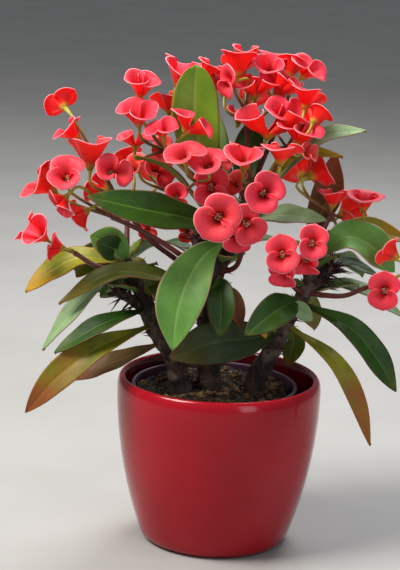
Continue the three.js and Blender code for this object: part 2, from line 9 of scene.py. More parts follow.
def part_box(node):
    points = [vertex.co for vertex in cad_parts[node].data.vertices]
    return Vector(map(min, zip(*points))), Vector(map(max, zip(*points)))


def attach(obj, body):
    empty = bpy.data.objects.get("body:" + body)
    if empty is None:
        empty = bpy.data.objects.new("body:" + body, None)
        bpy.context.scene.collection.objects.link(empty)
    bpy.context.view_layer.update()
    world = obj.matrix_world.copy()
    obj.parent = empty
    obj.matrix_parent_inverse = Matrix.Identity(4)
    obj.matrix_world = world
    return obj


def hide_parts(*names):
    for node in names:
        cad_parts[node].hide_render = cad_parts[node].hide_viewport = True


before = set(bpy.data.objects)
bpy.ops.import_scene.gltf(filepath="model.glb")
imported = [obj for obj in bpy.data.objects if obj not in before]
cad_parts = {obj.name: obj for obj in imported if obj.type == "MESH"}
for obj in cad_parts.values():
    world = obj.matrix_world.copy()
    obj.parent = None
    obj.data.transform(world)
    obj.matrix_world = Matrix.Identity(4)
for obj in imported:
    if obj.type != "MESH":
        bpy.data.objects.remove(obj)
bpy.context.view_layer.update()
random.seed(7)
noise.seed_set(7)

MM = 0.001
GOLDEN_ANGLE = math.pi * (3 - math.sqrt(5))


# ---- Colours ----
def linear(hex_colour):
    """An sRGB hex colour as the linear values that a shader takes."""
    channels = [int(hex_colour[i:i + 2], 16) / 255 for i in (1, 3, 5)]
    return [c / 12.92 if c < 0.04045 else ((c + 0.055) / 1.055) ** 2.4 for c in channels] + [1.0]


# ---- Shader nodes ----
def add(tree, kind, settings=None, links=None, **choices):
    """Adds a node with its choices, socket values and links, and returns it."""
    node = tree.nodes.new(kind)
    for name, choice in choices.items():
        setattr(node, name, choice)
    for socket, value in (settings or {}).items():
        node.inputs[socket].default_value = value
    for socket, source in (links or {}).items():
        tree.links.new(source, node.inputs[socket])
    return node


def new_material(name):
    """An empty material, its node tree and its shader."""
    material = bpy.data.materials.new(name)
    material.use_nodes = True
    tree = material.node_tree
    return material, tree, tree.nodes["Principled BSDF"]


def grain(tree, size_mm, detail=3.0, stretch=(1, 1, 1)):
    """Noise whose patches are about size_mm across, from 0 to 1."""
    place = add(tree, "ShaderNodeTexCoord").outputs["Object"]
    turned = add(tree, "ShaderNodeMapping", {"Scale": stretch}, {"Vector": place})
    return add(tree, "ShaderNodeTexNoise", {"Scale": 1 / (size_mm * MM), "Detail": detail},
               {"Vector": turned.outputs[0]}).outputs["Fac"]


def ramp(tree, value, low, high, start=0.0, end=1.0):
    """Value, eased from start at low to end at high."""
    limits = {"From Min": low, "From Max": high, "To Min": start, "To Max": end}
    node = add(tree, "ShaderNodeMapRange", limits, {"Value": value}, interpolation_type="SMOOTHSTEP")
    return node.outputs[0]


def sums(tree, operation, first, second):
    """One sum of two values, either of which may be a plain number."""
    node = add(tree, "ShaderNodeMath", operation=operation)
    for socket, value in zip(node.inputs, (first, second)):
        if isinstance(value, (int, float)):
            socket.default_value = value
        else:
            tree.links.new(value, socket)
    return node.outputs[0]


def blend_colours(tree, share, first, second):
    """Two colours blended by a share from 0 to 1. A colour is a hex value or another node's colour."""
    node = add(tree, "ShaderNodeMix", data_type="RGBA")
    for socket, value in (("Factor", share), ("A", first), ("B", second)):
        found = next(s for s in node.inputs if s.name == socket and (s.type == "RGBA" or socket == "Factor"))
        if isinstance(value, str):
            found.default_value = linear(value)
        elif isinstance(value, (int, float)):
            found.default_value = value
        else:
            tree.links.new(value, found)
    return next(s for s in node.outputs if s.type == "RGBA")


def bump(tree, height, depth_mm):
    """A bump whose full height is depth_mm."""
    return add(tree, "ShaderNodeBump", {"Distance": depth_mm * MM}, {"Height": height}).outputs[0]


def across_and_along(tree):
    """The two directions of a blade's own UV map: across it and along it, both from 0 to 1."""
    place = add(tree, "ShaderNodeTexCoord").outputs["UV"]
    spread = add(tree, "ShaderNodeSeparateXYZ", links={"Vector": place})
    return spread.outputs["X"], spread.outputs["Y"]


# ---- Materials ----
VEIN_WAVES = 95.0
VEIN_SLANT = 0.16
RIB_WAVES = 75.0
LEAF_FACE_ROUGHNESS = 0.5
LEAF_BACK_ROUGHNESS = 0.65
BRACT_FACE_ROUGHNESS = 0.6
BRACT_BACK_ROUGHNESS = 0.5

# The slot, the two greens of the face and of the back, and how old the leaf's tip is, from 0 to 1
LEAF_COLOURS = {
    "sage": {
        "slot": "leaf_sage", "name": "sage_green",
        "face": ("#5F8E3C", "#4E7C2E"), "back": ("#6E8E4E", "#5C7C3E"),
        "rib": "#86A860", "margin": "#A88A70", "aged": "#808A2A", "ageing": 0.0,
    },
    "dark": {
        "slot": "leaf_dark", "name": "dark_green",
        "face": ("#284C08", "#183404"), "back": ("#4E6E2A", "#3E5C1E"),
        "rib": "#55782E", "margin": "#6A4028", "aged": "#5A5E14", "ageing": 0.1,
    },
    # Painted shade: darker leaf greens for a leaf that hangs in shadow over the soil, with its own
    # olive-brown ageing
    "shaded": {
        "slot": "leaf_dark", "name": "painted_shade_green",
        "face": ("#26380A", "#1A2A04"), "back": ("#3A4A14", "#2E3C0E"),
        "rib": "#38490F", "margin": "#4A2A12", "aged": "#4A3A0C", "ageing": 0.35,
    },
    "olive": {
        "slot": "leaf_olive", "name": "olive_green",
        "face": ("#4C5A0C", "#344408"), "back": ("#747622", "#5C6018"),
        "rib": "#848428", "margin": "#7E5A26", "aged": "#80681A", "ageing": 0.28,
    },
    "fresh": {
        "slot": "leaf_olive", "name": "fresh_green",
        "face": ("#6E8E1C", "#5C7E14"), "back": ("#84983A", "#6E8428"),
        "rib": "#98A63C", "margin": "#9A5A28", "aged": "#6A5A14", "ageing": 0.1,
    },
    "yellow": {
        "slot": "leaf_yellow", "name": "yellowing",
        "face": ("#8C8A08", "#66780A"), "back": ("#968C24", "#767418"),
        "rib": "#A89A24", "margin": "#98581C", "aged": "#AA7C08", "ageing": 0.42,
    },
    "turning": {
        "slot": "leaf_olive", "name": "turning_olive",
        "face": ("#747410", "#50580A"), "back": ("#84802A", "#68681A"),
        "rib": "#948C28", "margin": "#9A5826", "aged": "#80481E", "ageing": 0.58,
    },
    "rust": {
        "slot": "leaf_rust", "name": "rusting",
        "face": ("#6A4C26", "#46401A"), "back": ("#86602A", "#6A4E1E"),
        "rib": "#8E6A3A", "margin": "#74402A", "aged": "#744026", "ageing": 0.6,
    },
    # Partly painted sheen: pale greens that are partly the leaves' own colour and partly lightened to stand
    # for the sheen of sky light on them
    "pale": {
        "slot": "leaf_pale", "name": "sky_sheen_pale_green",
        "face": ("#8AA678", "#6C8C5C"), "back": ("#8CA876", "#748F5C"),
        "rib": "#ACC094", "margin": "#A08068", "aged": "#8E9444", "ageing": 0.05,
    },
}


def leaf_material(name, flesh, deep, rib, margin, aged, ageing, roughness):
    """Living leaf: smooth and a little waxy, mottled, with a pale midrib, faint veins that slant towards
    the tip, a thin reddish margin, and older colour creeping in from the tip."""
    material, tree, shader = new_material(name)
    across, along = across_and_along(tree)
    off_middle = sums(tree, "ABSOLUTE", sums(tree, "SUBTRACT", across, 0.5), 0.0)
    side = sums(tree, "MULTIPLY", off_middle, 2.0)
    mottle = grain(tree, 14)
    slanted = sums(tree, "SUBTRACT", along, sums(tree, "MULTIPLY", side, VEIN_SLANT))
    waves = sums(tree, "SINE", sums(tree, "MULTIPLY", slanted, VEIN_WAVES), 0.0)
    veins = sums(tree, "MULTIPLY", ramp(tree, waves, 0.8, 1.0), ramp(tree, side, 0.9, 0.6, 0.0, 0.1))
    colour = blend_colours(tree, ramp(tree, mottle, 0.3, 0.8), flesh, deep)
    colour = blend_colours(tree, veins, colour, rib)
    colour = blend_colours(tree, ramp(tree, side, 0.03, 0.08, 0.55, 0.0), colour, rib)
    old = sums(tree, "ADD", sums(tree, "MULTIPLY", along, 0.8), sums(tree, "MULTIPLY", grain(tree, 22), 0.7))
    colour = blend_colours(tree, ramp(tree, old, 1.15 - ageing * 0.75, 1.45 - ageing * 0.6), colour, aged)
    colour = blend_colours(tree, ramp(tree, side, 0.93, 0.99, 0.0, 0.85), colour, margin)
    tree.links.new(colour, shader.inputs["Base Color"])
    waxy = ramp(tree, mottle, 0.3, 0.8, roughness - 0.06, roughness + 0.1)
    tree.links.new(waxy, shader.inputs["Roughness"])
    pores = sums(tree, "MULTIPLY", grain(tree, 1.2), 0.4)
    height = sums(tree, "ADD", sums(tree, "MULTIPLY", veins, -0.6), pores)
    tree.links.new(bump(tree, height, 0.25), shader.inputs["Normal"])
    shader.inputs["Specular IOR Level"].default_value = 0.3
    return material


def leaf_finish(slot, name, face, back, rib, margin, aged, ageing):
    """A leaf's slot, with the materials of its smoother face and its paler, duller back."""
    older = (rib, margin, aged, ageing)
    face_material = leaf_material(name + "_leaf_face", *face, *older, LEAF_FACE_ROUGHNESS)
    back_material = leaf_material(name + "_leaf_back", *back, *older, LEAF_BACK_ROUGHNESS)
    return slot, face_material, back_material


def bract_material(name, flesh, deep, rim, throat, roughness):
    """Living bract: a thin velvety blade, darker towards its throat and paler at its very rim, with fine
    ribs that fan out, and older flowers fading to orange. On the face the darkening towards the throat is
    painted shade in the funnel, while on the back the throat colour is its base's own yellow-green; the
    paler rim is a painted rim highlight."""
    material, tree, shader = new_material(name)
    across, along = across_and_along(tree)
    fan = sums(tree, "SINE", sums(tree, "MULTIPLY", across, RIB_WAVES), 0.0)
    ribs = sums(tree, "MULTIPLY", ramp(tree, fan, 0.2, 1.0), ramp(tree, along, 0.1, 0.8, 0.4, 0.08))
    faded = add(tree, "ShaderNodeAttribute", attribute_name="faded").outputs["Fac"]
    # On the face, the deep colour towards the throat is painted shade in the funnel
    depth = sums(tree, "ADD", sums(tree, "MULTIPLY", grain(tree, 7), 0.3), along)
    colour = blend_colours(tree, ramp(tree, depth, 0.2, 0.75), deep, flesh)
    colour = blend_colours(tree, ribs, colour, deep)
    colour = blend_colours(tree, faded, colour, "#C8602E")
    # On the face, the throat colour is painted shade round the cup; on the back it is the base's own
    # yellow-green
    colour = blend_colours(tree, ramp(tree, along, 0.26, 0.06, 0.0, 0.85), colour, throat)
    # Painted highlight: the rim colour lightens the very rim
    colour = blend_colours(tree, ramp(tree, along, 0.93, 1.0, 0.0, 0.75), colour, rim)
    tree.links.new(colour, shader.inputs["Base Color"])
    velvet = ramp(tree, grain(tree, 3), 0.3, 0.8, roughness - 0.05, roughness + 0.1)
    tree.links.new(velvet, shader.inputs["Roughness"])
    height = sums(tree, "ADD", ribs, sums(tree, "MULTIPLY", grain(tree, 0.8), 0.3))
    tree.links.new(bump(tree, height, 0.15), shader.inputs["Normal"])
    shader.inputs["Specular IOR Level"].default_value = 0.3
    shader.inputs["Subsurface Weight"].default_value = 0.45
    shader.inputs["Subsurface Radius"].default_value = (1.0, 0.16, 0.14)
    shader.inputs["Subsurface Scale"].default_value = 2.5 * MM
    return material


def stalk_material():
    """Flower stalk: smooth and fleshy, red-brown where it leaves the stem, turning olive and then
    yellow-green under the flower."""
    material, tree, shader = new_material("fleshy_flower_stalk")
    ripe = add(tree, "ShaderNodeAttribute", attribute_name="towards_flower").outputs["Fac"]
    colour = blend_colours(tree, ramp(tree, ripe, 0.35, 0.65), "#5E1F18", "#7A5420")
    colour = blend_colours(tree, ramp(tree, ripe, 0.6, 0.95), colour, "#A8A032")
    colour = blend_colours(tree, ramp(tree, grain(tree, 4), 0.4, 0.8, 0.0, 0.5), colour, "#4A1612")
    tree.links.new(colour, shader.inputs["Base Color"])
    shader.inputs["Roughness"].default_value = 0.42
    tree.links.new(bump(tree, grain(tree, 1.0), 0.12), shader.inputs["Normal"])
    return material


def cup_material():
    """The small cup of true flowers: waxy and dark red, speckled with pale glands and anthers."""
    material, tree, shader = new_material("waxy_flower_cup")
    colour = blend_colours(tree, ramp(tree, grain(tree, 0.9), 0.46, 0.6), "#7E1A18", "#E8B48A")
    tree.links.new(colour, shader.inputs["Base Color"])
    shader.inputs["Roughness"].default_value = 0.3
    tree.links.new(bump(tree, grain(tree, 0.5), 0.1), shader.inputs["Normal"])
    return material


def bark_material():
    """Stem bark: dry and dull, dark brown and grey in upright streaks, cracked and flaking."""
    material, tree, shader = new_material("dry_stem_bark")
    streaks = grain(tree, 4, 5.0, (1, 1, 0.35))
    flakes = grain(tree, 1.5, 4.0)
    colour = blend_colours(tree, ramp(tree, streaks, 0.35, 0.65), "#170C08", "#3A261B")
    colour = blend_colours(tree, ramp(tree, grain(tree, 9, 4.0), 0.52, 0.7, 0.0, 0.6), colour, "#6E5C50")
    colour = blend_colours(tree, ramp(tree, flakes, 0.55, 0.75, 0.0, 0.35), colour, "#7A6A5E")
    tree.links.new(colour, shader.inputs["Base Color"])
    tree.links.new(ramp(tree, flakes, 0.3, 0.7, 0.7, 0.95), shader.inputs["Roughness"])
    height = sums(tree, "ADD", streaks, sums(tree, "MULTIPLY", flakes, 0.5))
    tree.links.new(bump(tree, height, 0.9), shader.inputs["Normal"])
    return material


def thorn_material():
    """Thorns: hard and smooth, near black with patches that warm to brown."""
    material, tree, shader = new_material("hard_dark_thorn")
    colour = blend_colours(tree, ramp(tree, grain(tree, 6), 0.35, 0.7), "#160808", "#4A1A16")
    tree.links.new(colour, shader.inputs["Base Color"])
    shader.inputs["Roughness"].default_value = 0.4
    return material


def soil_material():
    """Peat soil: matt and crumbly, near black with brown fibre and a few pale grains."""
    material, tree, shader = new_material("crumbled_peat_soil")
    lumps = grain(tree, 5, 6.0)
    crumbs = grain(tree, 1.4, 4.0)
    colour = blend_colours(tree, ramp(tree, lumps, 0.4, 0.65), "#0A0604", "#20140C")
    colour = blend_colours(tree, ramp(tree, crumbs, 0.55, 0.7, 0.0, 0.6), colour, "#503620")
    tree.links.new(colour, shader.inputs["Base Color"])
    shader.inputs["Roughness"].default_value = 0.95
    tree.links.new(bump(tree, sums(tree, "ADD", lumps, crumbs), 1.5), shader.inputs["Normal"])
    return material


def crumb_material():
    """Bark chips, moss and root bits on the soil: dull browns, no two alike."""
    material, tree, shader = new_material("bark_chips_and_moss")
    colour = blend_colours(tree, ramp(tree, grain(tree, 7), 0.4, 0.6), "#2A1A10", "#6A4C2A")
    colour = blend_colours(tree, ramp(tree, grain(tree, 11), 0.55, 0.7), colour, "#8A7A4A")
    tree.links.new(colour, shader.inputs["Base Color"])
    shader.inputs["Roughness"].default_value = 0.9
    tree.links.new(bump(tree, grain(tree, 1.0), 0.6), shader.inputs["Normal"])
    return material


def glaze_material():
    """Cover pot: stoneware under a dipped and fired dark red glaze, glossy as glass, a little darker
    over the lip and towards the foot, and darkest inside, where the darkening is painted shade."""
    material, tree, shader = new_material("glossy_red_glaze")
    place = add(tree, "ShaderNodeTexCoord").outputs["Object"]
    height = add(tree, "ShaderNodeSeparateXYZ", links={"Vector": place}).outputs["Z"]
    flat = add(tree, "ShaderNodeVectorMath", {1: (1, 1, 0)}, {0: place}, operation="MULTIPLY")
    across = add(tree, "ShaderNodeVectorMath", links={0: flat.outputs["Vector"]}, operation="LENGTH")
    reach = across.outputs["Value"]
    top = POT_HEIGHT * MM
    middle_of_wall = (POT_RADIUS - POT_WALL / 2) * MM
    colour = blend_colours(tree, ramp(tree, grain(tree, 45), 0.3, 0.7), "#A01020", "#960E1C")
    # A little darker over the top of the lip
    colour = blend_colours(tree, ramp(tree, height, top - 5 * MM, top - 1 * MM, 0.0, 0.5), colour, "#98101E")
    # Darker towards the foot, over its lowest 4 mm
    colour = blend_colours(tree, ramp(tree, height, 4 * MM, 0.0, 0.0, 0.6), colour, "#4A0A10")
    # Painted shade: the inner wall below the lip is darkened as if in the pot's own shadow
    inside = sums(tree, "MULTIPLY", ramp(tree, reach, middle_of_wall + 1 * MM, middle_of_wall - 2 * MM),
                  ramp(tree, height, top - 40 * MM, top - 30 * MM, 0.0, 0.85))
    colour = blend_colours(tree, inside, colour, "#3C060E")
    tree.links.new(colour, shader.inputs["Base Color"])
    tree.links.new(ramp(tree, grain(tree, 12), 0.3, 0.7, 0.11, 0.17), shader.inputs["Roughness"])
    tree.links.new(bump(tree, grain(tree, 9, 2.0), 0.04), shader.inputs["Normal"])
    shader.inputs["Specular IOR Level"].default_value = 0.28
    return material


def nursery_material():
    """Nursery pot: thin moulded polypropylene, purple, satin with fine scuffs."""
    material, tree, shader = new_material("moulded_purple_polypropylene")
    colour = blend_colours(tree, ramp(tree, grain(tree, 8), 0.4, 0.7), "#3E1838", "#2C1028")
    tree.links.new(colour, shader.inputs["Base Color"])
    tree.links.new(ramp(tree, grain(tree, 2), 0.3, 0.7, 0.38, 0.55), shader.inputs["Roughness"])
    tree.links.new(bump(tree, grain(tree, 1.0), 0.05), shader.inputs["Normal"])
    return material


def floor_material():
    """Matt pale studio floor with the slightest unevenness of tone."""
    material, tree, shader = new_material("pale_studio_floor")
    colour = blend_colours(tree, ramp(tree, grain(tree, 120), 0.3, 0.7), "#A8A8A7", "#A2A2A1")
    tree.links.new(colour, shader.inputs["Base Color"])
    shader.inputs["Roughness"].default_value = 0.7
    return material


# ---- Smooth routes ----
class Route:
    """A smooth curve through a few points given in millimetres, read by how far along it, from 0 to 1."""

    def __init__(self, points, steps=10):
        points = [Vector(point) * MM for point in points]
        ends = [2 * points[0] - points[1], *points, 2 * points[-1] - points[-2]]
        self.line = []
        for four in zip(ends, ends[1:], ends[2:], ends[3:]):
            self.line += [self.between(four, step / steps) for step in range(steps)]
        self.line.append(points[-1])
        self.reach = [0.0]
        for here, after in zip(self.line, self.line[1:]):
            self.reach.append(self.reach[-1] + (after - here).length)
        self.length = self.reach[-1]

    @staticmethod
    def between(four, share):
        """A point between the middle two of four points, on a centripetal Catmull-Rom curve."""
        knots = [0.0]
        for here, after in zip(four, four[1:]):
            knots.append(knots[-1] + math.sqrt((after - here).length))
        time = knots[1] + (knots[2] - knots[1]) * share

        def mix(first, second, start, end):
            return first.lerp(second, (time - knots[start]) / (knots[end] - knots[start]))

        near = [mix(four[i], four[i + 1], i, i + 1) for i in range(3)]
        wide = [mix(near[i], near[i + 1], i, i + 2) for i in range(2)]
        return mix(wide[0], wide[1], 1, 2)

    def at(self, along):
        """The point that far along the curve."""
        target = min(max(along, 0.0), 1.0) * self.length
        for i in range(1, len(self.line)):
            if self.reach[i] >= target:
                step = self.reach[i] - self.reach[i - 1]
                return self.line[i - 1].lerp(self.line[i], (target - self.reach[i - 1]) / max(step, 1e-9))
        return self.line[-1].copy()

    def heading(self, along):
        """The direction of the curve that far along it."""
        return (self.at(along + 0.02) - self.at(along - 0.02)).normalized()

    def at_height(self, height_mm):
        """The point where a rising curve passes a height."""
        low, high = 0.0, 1.0
        for _ in range(16):
            middle = (low + high) / 2
            if self.at(middle).z < height_mm * MM:
                low = middle
            else:
                high = middle
        return self.at(low)


def facing(heading, tilt):
    """The direction of a heading and a tilt in degrees."""
    turn, rise = math.radians(heading), math.radians(tilt)
    return Vector((math.cos(turn) * math.cos(rise), math.sin(turn) * math.cos(rise), math.sin(rise)))


# ---- Mesh helpers ----
OFF_AXIS = Vector((0.13, -0.98, 0.07))  # a direction that no stem, stalk or thorn runs in
SEAM = 1e-6


def new_mesh(*layers):
    """An empty mesh with a UV map and any layers that its materials read."""
    mesh = bmesh.new()
    mesh.loops.layers.uv.new("UVMap")
    for layer in layers:
        mesh.verts.layers.float.new(layer)
    return mesh


def lay(mesh, across_cells, along_cells, place, layer=None, value=None):
    """Lays a grid whose corners stand where place(across, along) says, both from 0 to 1. Where a layer is
    named, value(along) goes into it."""
    made = bmesh.ops.create_grid(
        mesh, x_segments=across_cells, y_segments=along_cells, size=0.5, calc_uvs=True)
    chosen = mesh.verts.layers.float[layer] if layer else None
    for vert in made["verts"]:
        across, along = vert.co.x + 0.5, vert.co.y + 0.5
        if chosen:
            vert[chosen] = value(along)
        vert.co = place(across, along)


def tube(mesh, route, radius, sides, steps, layer=None, value=None):
    """A round tube along a route. radius(turn, along) is in metres."""

    def place(across, along):
        forward = route.heading(along)
        right = forward.cross(OFF_AXIS).normalized()
        up = right.cross(forward)
        turn = 2 * math.pi * across
        size = radius(turn, along)
        return route.at(along) + (right * math.cos(turn) + up * math.sin(turn)) * size

    lay(mesh, sides, steps, place, layer, value)


def finish_piece(name, mesh, materials, slot, nodes=(), smooth=True, shell=True):
    """Turns a bmesh into a named piece that rides on the plant's one body and stands for its CAD nodes.
    A shell has its seams merged, its ends closed and its faces turned outwards."""
    if shell:
        bmesh.ops.remove_doubles(mesh, verts=mesh.verts, dist=SEAM)
        bmesh.ops.holes_fill(mesh, edges=[edge for edge in mesh.edges if edge.is_boundary], sides=0)
        bmesh.ops.recalc_face_normals(mesh, faces=mesh.faces)
    data = bpy.data.meshes.new(name)
    mesh.to_mesh(data)
    mesh.free()
    for material in materials:
        data.materials.append(material)
    for face in data.polygons:
        face.use_smooth = smooth
    piece = bpy.data.objects.new(name, data)
    bpy.context.scene.collection.objects.link(piece)
    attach(piece, "root")
    if nodes:
        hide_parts(*nodes)
    return piece


def thicken(piece, thickness_mm):
    """Gives an open blade its thickness. Its far side takes the second material."""
    solid = piece.modifiers.new("thickness", "SOLIDIFY")
    solid.thickness = thickness_mm * MM
    solid.offset = 0.0
    solid.use_even_offset = True
    solid.material_offset = 1


def wander(point, size_mm, amount_mm):
    """A smooth random shift for a point, for patches about size_mm across."""
    return noise.noise_vector(point / (size_mm * MM)) * (amount_mm * MM)


# ---- Pots and soil ----
# All in millimetres
POT_HEIGHT = 108.0
POT_FOOT_RADIUS = 45.6
POT_RADIUS = 65.0
POT_WALL = 6.5
POT_FLOOR = 8.0
POT_SWELL = 0.8
POT_RINGS = 28
POT_FLOOR_RING = 4
LIP_HEIGHT = 8.0
LIP_SETTLING = 0.4
FOOT_HOLLOW = 0.6
FOOT_RING = 5.5
FOOT_SLOPE = 1.5
FOOT_ROUNDING = 1.2
FOOT_STEP = 0.2
NURSERY_BASE_RADIUS = 35.0
NURSERY_WALL = 1.2
NURSERY_ROLL = 1.4
NURSERY_RIM_WIDTH = 3.0
NURSERY_RIM_DEPTH = 4.0
SOIL_TOP = 97.5
SOIL_SWELL = 1.32
SOIL_GAP = 2.4
SOIL_SKIRT = 12.0
SOIL_FLAT = 0.9  # the share of the soil's grid that is its top, the rest being the skirt
CRUMBS = 420
CRUMB_SIZES = (0.8, 1.2, 1.8, 2.6)
CRUMB_REACH = 47.0
FIBRES = 90
FIBRE_REACH = 45.0
FIBRE_RADIUS = 0.22

nursery_low, nursery_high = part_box("nursery_pot")
NURSERY_X = (nursery_low.x + nursery_high.x) / 2 / MM
NURSERY_RADIUS = (nursery_high.x - nursery_low.x) / 2 / MM
NURSERY_TOP = nursery_high.z / MM
NURSERY_FOOT = nursery_low.z / MM


def turned_on_wheel(mesh, profile, centre_x=0.0, steps=96):
    """Spins a profile of (radius, height) points in millimetres round an upright axis."""
    corners = [mesh.verts.new((centre_x * MM + radius * MM, 0, height * MM)) for radius, height in profile]
    rims = [mesh.edges.new(pair) for pair in zip(corners, corners[1:])]
    bmesh.ops.spin(mesh, geom=corners + rims, cent=(centre_x * MM, 0, 0), axis=(0, 0, 1),
                   angle=2 * math.pi, steps=steps, use_merge=True, use_duplicate=False)


def arc(centre, size, start, end, steps):
    """Points on an ellipse, from one angle to another, in degrees."""
    angles = [math.radians(start + (end - start) * i / steps) for i in range(steps + 1)]
    return [(centre[0] + size[0] * math.cos(a), centre[1] + size[1] * math.sin(a)) for a in angles]


def make_cover_pot():
    """The cover pot: a swelling wall, a thick rounded lip and a softened foot."""
    wall_top = POT_HEIGHT - LIP_HEIGHT

    def outside(ring, inset=0.0):
        rise = ring / POT_RINGS
        swell = math.sin(rise * math.pi / 2) ** POT_SWELL
        return POT_FOOT_RADIUS + (POT_RADIUS - POT_FOOT_RADIUS) * swell - inset, wall_top * rise

    stand = POT_FOOT_RADIUS - FOOT_RING
    foot = [
        (0.0, FOOT_HOLLOW), (stand - FOOT_SLOPE, FOOT_HOLLOW),
        (stand, 0.0), (POT_FOOT_RADIUS - FOOT_ROUNDING, 0.0),
    ]
    first_radius, first_height = outside(1)
    outer = [(first_radius + FOOT_STEP, first_height)] + [outside(i) for i in range(2, POT_RINGS + 1)]
    middle = (POT_RADIUS - POT_WALL / 2, wall_top)
    lip = arc(middle, (POT_WALL / 2, LIP_HEIGHT - LIP_SETTLING), 0, 180, 16)[1:-1]
    inner = [outside(i, POT_WALL) for i in range(POT_RINGS, POT_FLOOR_RING, -1)]
    floor = [(POT_FOOT_RADIUS - POT_WALL, POT_FLOOR), (0.0, POT_FLOOR)]
    mesh = new_mesh()
    turned_on_wheel(mesh, foot + outer + lip + inner + floor, steps=128)
    finish_piece("glazed_cover_pot", mesh, [glaze_material()], "red_glaze", ["cover_pot"])


def make_nursery_pot():
    """The thin pot inside: tapered, with a rolled rim."""
    top = NURSERY_TOP - NURSERY_ROLL
    rim = arc((NURSERY_RADIUS - NURSERY_ROLL, top), (NURSERY_ROLL, NURSERY_ROLL), -60, 180, 12)
    profile = [
        (0.0, NURSERY_FOOT), (NURSERY_BASE_RADIUS, NURSERY_FOOT),
        (NURSERY_RADIUS - NURSERY_RIM_WIDTH, top - NURSERY_RIM_DEPTH), *rim,
        (NURSERY_BASE_RADIUS - NURSERY_WALL, NURSERY_FOOT + NURSERY_WALL),
        (0.0, NURSERY_FOOT + NURSERY_WALL),
    ]
    mesh = new_mesh()
    turned_on_wheel(mesh, profile, NURSERY_X)
    finish_piece("thin_nursery_pot", mesh, [nursery_material()], "nursery_plastic", ["nursery_pot"])


def soil_height(x, y):
    """The height of the soil's lumpy top at a place, in millimetres."""
    lumps = noise.noise(Vector((x, y, 0)) / 9) * 2.4 + noise.noise(Vector((x, y, 40)) / 3.5) * 1.3
    return SOIL_TOP + SOIL_SWELL * math.sin(x / 7) * math.cos(y / 9 + x / 17) + lumps


def make_soil():
    """The soil: a lumpy disc inside the nursery pot, drawn down at its edge to close the plug."""
    mesh = new_mesh()
    edge = NURSERY_RADIUS - NURSERY_WALL - SOIL_GAP

    def place(across, along):
        turn = 2 * math.pi * across
        reach = min(along / SOIL_FLAT, 1.0) * edge
        x, y = NURSERY_X + reach * math.cos(turn), reach * math.sin(turn)
        depth = max(along - SOIL_FLAT, 0.0) / (1 - SOIL_FLAT) * SOIL_SKIRT
        return Vector((x, y, soil_height(x, y) - depth)) * MM

    lay(mesh, 120, 60, place)
    finish_piece("crumbly_soil", mesh, [soil_material()], "peat_soil", ["soil"])


def strewn(reach):
    """A random place on the soil within a reach of its middle, in millimetres."""
    turn, far = random.uniform(0, 2 * math.pi), reach * math.sqrt(random.uniform(0.0, 1.0))
    return NURSERY_X + far * math.cos(turn), far * math.sin(turn)


def make_crumbs():
    """Bark chips and moss strewn on the soil."""
    mesh = new_mesh()
    for _ in range(CRUMBS):
        x, y = strewn(CRUMB_REACH)
        size = random.choice(CRUMB_SIZES) * MM
        length, width, height = random.uniform(0.7, 2.0), random.uniform(0.6, 1.2), random.uniform(0.4, 0.8)
        stretch = Matrix.Diagonal((length, width, height, 1))
        tilt = Matrix.Rotation(random.uniform(0, 6.3), 4, Vector((random.random(), random.random(), 1)))
        where = Matrix.Translation(Vector((x, y, soil_height(x, y) + 0.3)) * MM)
        made = bmesh.ops.create_icosphere(mesh, subdivisions=1, radius=size, matrix=where @ tilt @ stretch)
        for vert in made["verts"]:
            vert.co += wander(vert.co, 1.5, size / MM * 0.35)
    finish_piece("soil_crumbs", mesh, [crumb_material()], "peat_soil", smooth=False)


def make_fibres():
    """Dry root fibres that lie in loops on the soil."""
    mesh = new_mesh()
    for _ in range(FIBRES):
        x, y = strewn(FIBRE_REACH)
        points = []
        for _ in range(4):
            points.append((x, y, soil_height(x, y) + random.uniform(0.2, 1.6)))
            x, y = x + random.uniform(-4, 4), y + random.uniform(-3, 3)
        tube(mesh, Route(points, 4), lambda turn, along: FIBRE_RADIUS * MM, 4, 10)
    finish_piece("soil_fibres", mesh, [crumb_material()], "peat_soil")


# ---- Stems ----
# Each stem's main shoot and then its side shoot: points from the soil up, the radius at the foot and at the
# tip, in millimetres, and how many thorns
STEMS = {
    "left_stem": [
        {
            "points": [
                (-22, -10, 80), (-24, -11, 100), (-30, -12, 121), (-42, -12, 140), (-49, -11, 158),
                (-56, -8, 171), (-62, -6, 183),
            ],
            "foot": 7, "tip": 4, "thorns": 60,
        },
        {
            "points": [(-46, -12, 148), (-54, -13, 156), (-68, -11, 163)],
            "foot": 3.5, "tip": 3, "thorns": 24,
        },
    ],
    "centre_stem": [
        {
            "points": [
                (-4, -4, 80), (-5, -5, 105), (-9, -5, 138), (-10, -6, 158), (-5, -8, 175), (2, -10, 195),
                (3, -9, 211),
            ],
            "foot": 6.5, "tip": 4.5, "thorns": 70,
        },
        {
            "points": [(-7, -7, 176), (-13, -8, 187), (-17, -8, 199)],
            "foot": 4, "tip": 5, "thorns": 22,
        },
    ],
    "back_stem": [
        {
            "points": [
                (-6, 16, 80), (-7, 18, 110), (-8, 20, 140), (-4, 19, 170), (4, 16, 195), (16, 11, 222),
            ],
            "foot": 6.5, "tip": 4, "thorns": 60,
        },
    ],
    "right_stem": [
        {
            "points": [
                (21, 0, 80), (24, 0, 106), (34, 0, 128), (40, 0, 142), (46, 0, 153), (52, 1, 165),
                (57, 2, 179), (58, 3, 192),
            ],
            "foot": 7, "tip": 4, "thorns": 80,
        },
        {
            "points": [(50, 1, 161), (60, 3, 170), (69, 4, 181)],
            "foot": 4, "tip": 4, "thorns": 60,
        },
    ],
}
STEM_ROUTES = {name: Route(shoots[0]["points"]) for name, shoots in STEMS.items()}
STEM_FLARE = 3.0
STEM_STEPS = 1.2  # rings to a millimetre of stem
BARE_FOOT = 6.0  # how far above the soil the thorns start
